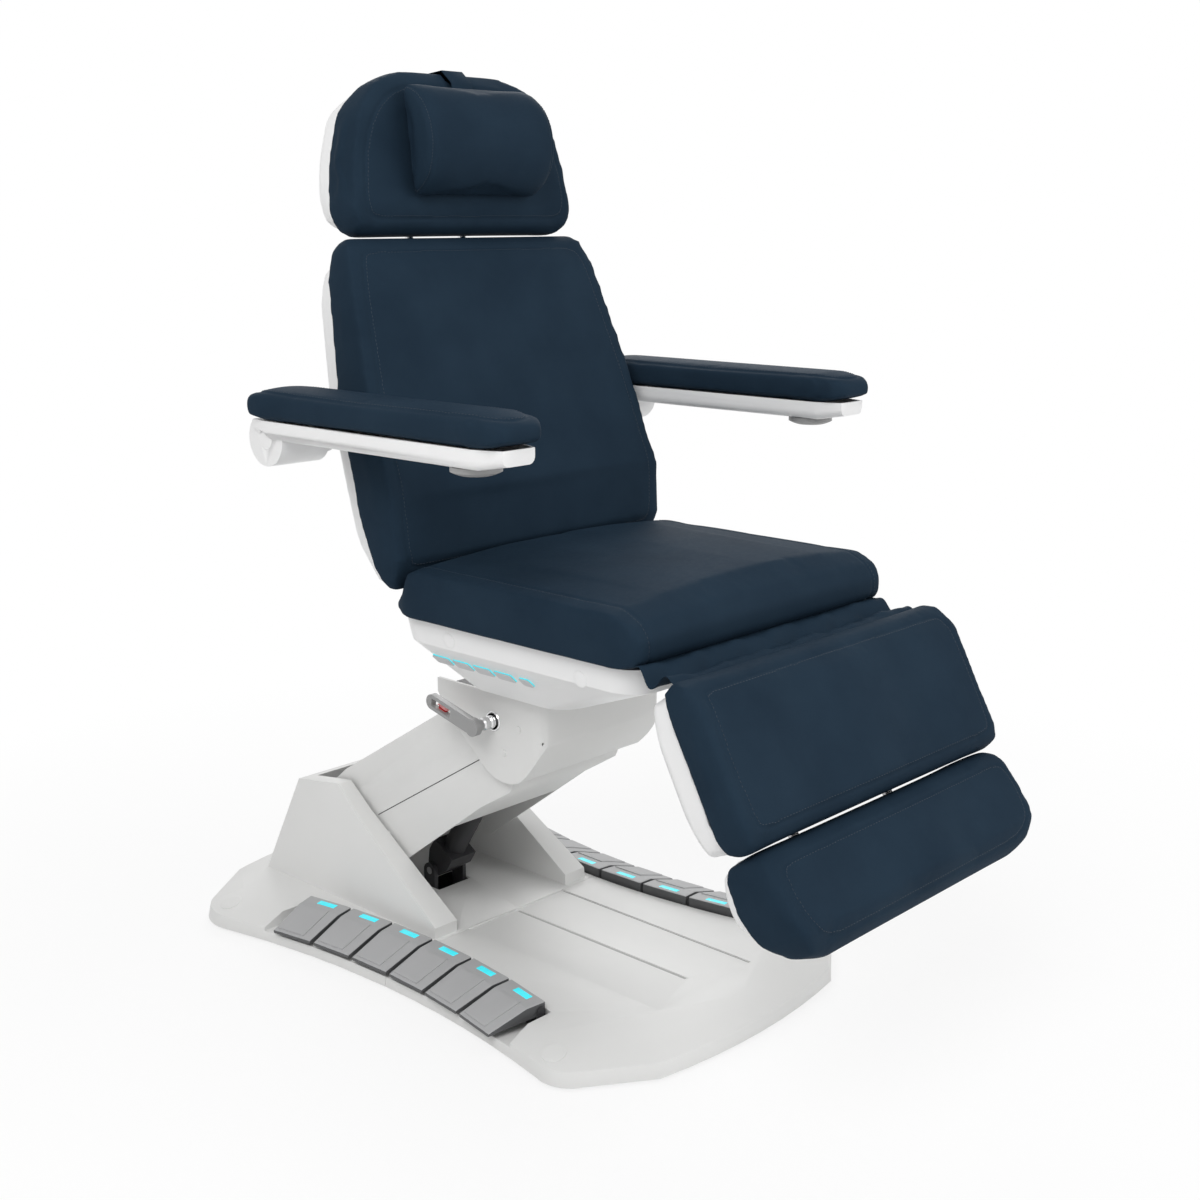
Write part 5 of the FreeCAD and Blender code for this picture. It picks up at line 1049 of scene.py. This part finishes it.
painted_deck_shade("deck_left_shade", (DECK_HALF, DECK_REAR, 0), (DECK_HALF, DECK_SIDE_END, 0), EDGE_SHADE_WIDTH, PAINTED_RECESS_SHADE)
painted_deck_shade("deck_right_shade", (-DECK_HALF, DECK_REAR, 0), (-DECK_HALF, DECK_SIDE_END, 0), EDGE_SHADE_WIDTH, PAINTED_RECESS_SHADE)
painted_deck_shade("deck_front_shade", (DECK_HALF, DECK_FRONT, 0), (-DECK_HALF, DECK_FRONT, 0), EDGE_SHADE_WIDTH, PAINTED_RECESS_SHADE)
painted_deck_shade("deck_groove_shade", (0, DECK_REAR, 0), (0, GROOVE_END, 0), GROOVE_SHADE_WIDTH, PAINTED_RECESS_SHADE)


# Foot switches
def foot_switch(node):
    """A moulded pedal with dark sides, a raised tread and a lit window."""
    joint = JOINT[f"{node}_press"]
    pin = Vector(joint["pos_m"])
    hinge = Vector(joint["axis"]).normalized()
    outward = hinge.cross(UPWARD)
    outward *= math.copysign(1, outward.x * pin.x)
    ahead = hinge * math.copysign(1, -hinge.y)
    obj = softened(node, f"{node}_body", 1.2 * MM)
    obj.data.materials.append(PEDAL_SIDE)
    for face in obj.data.polygons:
        face.material_index = 0 if face.normal.z > 0.4 else 1
    tree = surface(obj)
    reach = [(v.co - pin).dot(outward) for v in obj.data.vertices]
    width = [(v.co - pin).dot(ahead) for v in obj.data.vertices]
    inner, toe = min(reach), max(reach)
    ends = []
    for end in (inner, toe):
        near = [way for out, way in zip(reach, width) if abs(out - end) < 10 * MM]
        ends.append((min(near), max(near)))

    def sideways(out, share):
        """A place across the pedal, whose sides draw together towards the toe."""
        along = (out - inner) / (toe - inner)
        rear = ends[0][0] + (ends[1][0] - ends[0][0]) * along
        front = ends[0][1] + (ends[1][1] - ends[0][1]) * along
        return rear + (front - rear) * share

    def slab(name, out_low, out_high, ahead_low, ahead_high, lift, material, rows=8):
        points = []
        for height in (-1.5 * MM, lift):
            for row in range(rows + 1):
                for column in range(rows + 1):
                    out = out_low + (out_high - out_low) * row / rows
                    way = sideways(out, ahead_low + (ahead_high - ahead_low) * column / rows)
                    start = pin + outward * out + ahead * way + UPWARD * FAR
                    place, normal, index, distance = tree.ray_cast(start, -UPWARD)
                    points.append(place + normal * height)
        size = (rows + 1) ** 2
        faces = []
        for row in range(rows):
            for column in range(rows):
                start = row * (rows + 1) + column
                quad = (start, start + 1, start + rows + 2, start + rows + 1)
                faces.append(quad)
                faces.append(tuple(size + corner for corner in quad[::-1]))
        edge = [c for c in range(rows + 1)] + [(r + 1) * (rows + 1) - 1 for r in range(1, rows + 1)]
        edge += [rows * (rows + 1) + c for c in range(rows - 1, -1, -1)]
        edge += [r * (rows + 1) for r in range(rows - 1, 0, -1)]
        for number in range(len(edge)):
            a, b = edge[number - 1], edge[number]
            faces.append((a, b, size + b, size + a))
        mesh = bpy.data.meshes.new(name)
        mesh.from_pydata([tuple(p) for p in points], [], faces)
        work = bmesh.new()
        work.from_mesh(mesh)
        bmesh.ops.recalc_face_normals(work, faces=work.faces)
        work.to_mesh(mesh)
        work.free()
        plate = piece(name, mesh, BODY_OF[node], SLOT_OF[node], material)
        bevel = plate.modifiers.new("Round", "BEVEL")
        bevel.width = 0.7 * MM
        bevel.segments = 2
        bevel.limit_method = "ANGLE"
        bevel.angle_limit = math.radians(50)
        apply_modifiers(plate)
        return smooth(plate, 35)

    length = toe - inner
    slab(f"{node}_tread", inner + length * 0.30, toe - 6 * MM, 0.07, 0.76, 1.8 * MM, PEDAL)
    slab(f"{node}_window", inner + 7 * MM, inner + 19 * MM, 0.32, 0.74, 0.6 * MM, WINDOW, 4)


for node_name in NODES:
    if "_pedal_" in node_name:
        foot_switch(node_name)


# Push buttons with lit edges
LIT_SPREAD = 1.03
LIT_DEPTH = 1.6 * MM
LIT_SHIFT = 1.2 * MM


def lit_edge(node):
    """A cyan plate that shows round the upper and front edges of a button."""
    press = Vector(JOINT[f"{node}_press"]["axis"]).normalized()
    mesh = node_mesh(node)
    middle = sum((v.co for v in mesh.vertices), Vector()) / len(mesh.vertices)
    rise = UPWARD - press * UPWARD.dot(press)
    rise.normalize()
    for vertex in mesh.vertices:
        away = vertex.co - middle
        depth = press * away.dot(press)
        spread = depth + (away - depth) * LIT_SPREAD
        vertex.co = middle + spread + press * LIT_DEPTH + (rise + AHEAD) * LIT_SHIFT
    piece(f"{node}_lit_edge", mesh, BODY_OF["seat_pan"], SLOT_OF[node], WINDOW)


for node_name in NODES:
    if node_name.endswith("button") or "_button_" in node_name:
        lit_edge(node_name)


# Stage, light and camera
def seen_rays(tree):
    """One for camera, glossy and transmission rays, and nought for the rest."""
    path = tree.nodes.new("ShaderNodeLightPath")
    most = path.outputs["Is Camera Ray"]
    for kind in ("Is Glossy Ray", "Is Transmission Ray"):
        node = tree.nodes.new("ShaderNodeMath")
        node.operation = "MAXIMUM"
        tree.links.new(most, node.inputs[0])
        tree.links.new(path.outputs[kind], node.inputs[1])
        most = node.outputs["Value"]
    return most


def floor():
    """A pale floor that is white to the eye, apart from the shadow near the object."""
    shader = Shader("pale_floor", 0.9)
    tree = shader.tree
    shader.colours(shader.noise(2, 2), (0.90, 0.90, 0.90, 1), (0.92, 0.92, 0.92, 1))
    mesh = bpy.data.meshes.new("floor")
    half = 12
    corners = [(-half, -half, 0), (half, -half, 0), (half, half, 0), (-half, half, 0)]
    mesh.from_pydata(corners, [], [(0, 1, 2, 3)])
    obj = bpy.data.objects.new("floor", mesh)
    bpy.context.scene.collection.objects.link(obj)
    obj.location.z = -0.5 * MM
    paint(obj, shader.material)
    reach = tree.nodes.new("ShaderNodeVectorMath")
    reach.operation = "LENGTH"
    shader.link(shader.place, reach.inputs[0])
    fade = tree.nodes.new("ShaderNodeMapRange")
    fade.inputs["From Min"].default_value = 0.7
    fade.inputs["From Max"].default_value = 1.9
    fade.inputs["To Min"].default_value = 0.80
    fade.inputs["To Max"].default_value = 1.0
    shader.link(reach.outputs["Value"], fade.inputs["Value"])
    share = tree.nodes.new("ShaderNodeMath")
    share.operation = "MULTIPLY"
    shader.link(fade.outputs["Result"], share.inputs[0])
    shader.link(seen_rays(tree), share.inputs[1])
    glow = tree.nodes.new("ShaderNodeEmission")
    glow.inputs["Color"].default_value = (1, 1, 1, 1)
    glow.inputs["Strength"].default_value = 1.0
    mix = tree.nodes.new("ShaderNodeMixShader")
    shader.link(share.outputs["Value"], mix.inputs["Fac"])
    shader.link(shader.out.outputs["BSDF"], mix.inputs[1])
    shader.link(glow.outputs["Emission"], mix.inputs[2])
    shader.link(mix.outputs["Shader"], tree.nodes["Material Output"].inputs["Surface"])


def world():
    scene = bpy.context.scene
    scene.world = bpy.data.worlds.new("studio")
    scene.world.use_nodes = True
    tree = scene.world.node_tree
    sky = tree.nodes["Background"]
    sky.inputs["Color"].default_value = (1, 1, 1, 1)
    sky.inputs["Strength"].default_value = 0.42
    seen = tree.nodes.new("ShaderNodeBackground")
    seen.inputs["Color"].default_value = (1, 1, 1, 1)
    seen.inputs["Strength"].default_value = 1.0
    mix = tree.nodes.new("ShaderNodeMixShader")
    tree.links.new(seen_rays(tree), mix.inputs["Fac"])
    tree.links.new(sky.outputs["Background"], mix.inputs[1])
    tree.links.new(seen.outputs["Background"], mix.inputs[2])
    tree.links.new(mix.outputs["Shader"], tree.nodes["World Output"].inputs["Surface"])


def lamp(name, place, target, size, watts):
    """A round soft light that faces a target."""
    data = bpy.data.lights.new(name, "AREA")
    data.shape = "DISK"
    data.size = size
    data.energy = watts
    obj = bpy.data.objects.new(name, data)
    obj.location = place
    obj.rotation_euler = (Vector(target) - Vector(place)).to_track_quat("-Z", "Y").to_euler()
    bpy.context.scene.collection.objects.link(obj)


def camera():
    data = bpy.data.cameras.new("camera")
    data.lens = CAMERA_LENS
    data.sensor_width = CAMERA_SENSOR
    data.sensor_fit = "HORIZONTAL"
    obj = bpy.data.objects.new("camera", data)
    obj.location = CAMERA_PLACE
    obj.rotation_euler = (math.pi / 2 - CAMERA_PITCH, 0, CAMERA_YAW)
    bpy.context.scene.collection.objects.link(obj)
    bpy.context.scene.camera = obj


MIDDLE = (0, 0, 0.7)
floor()
world()
lamp("key", (-2.6, -1.2, 3.2), MIDDLE, 2.4, 75)
lamp("fill", (1.2, -3.4, 2.2), MIDDLE, 3.0, 50)
lamp("rim", (2.4, 2.2, 2.6), MIDDLE, 2.4, 45)
camera()
bpy.context.scene.view_settings.view_transform = "Standard"
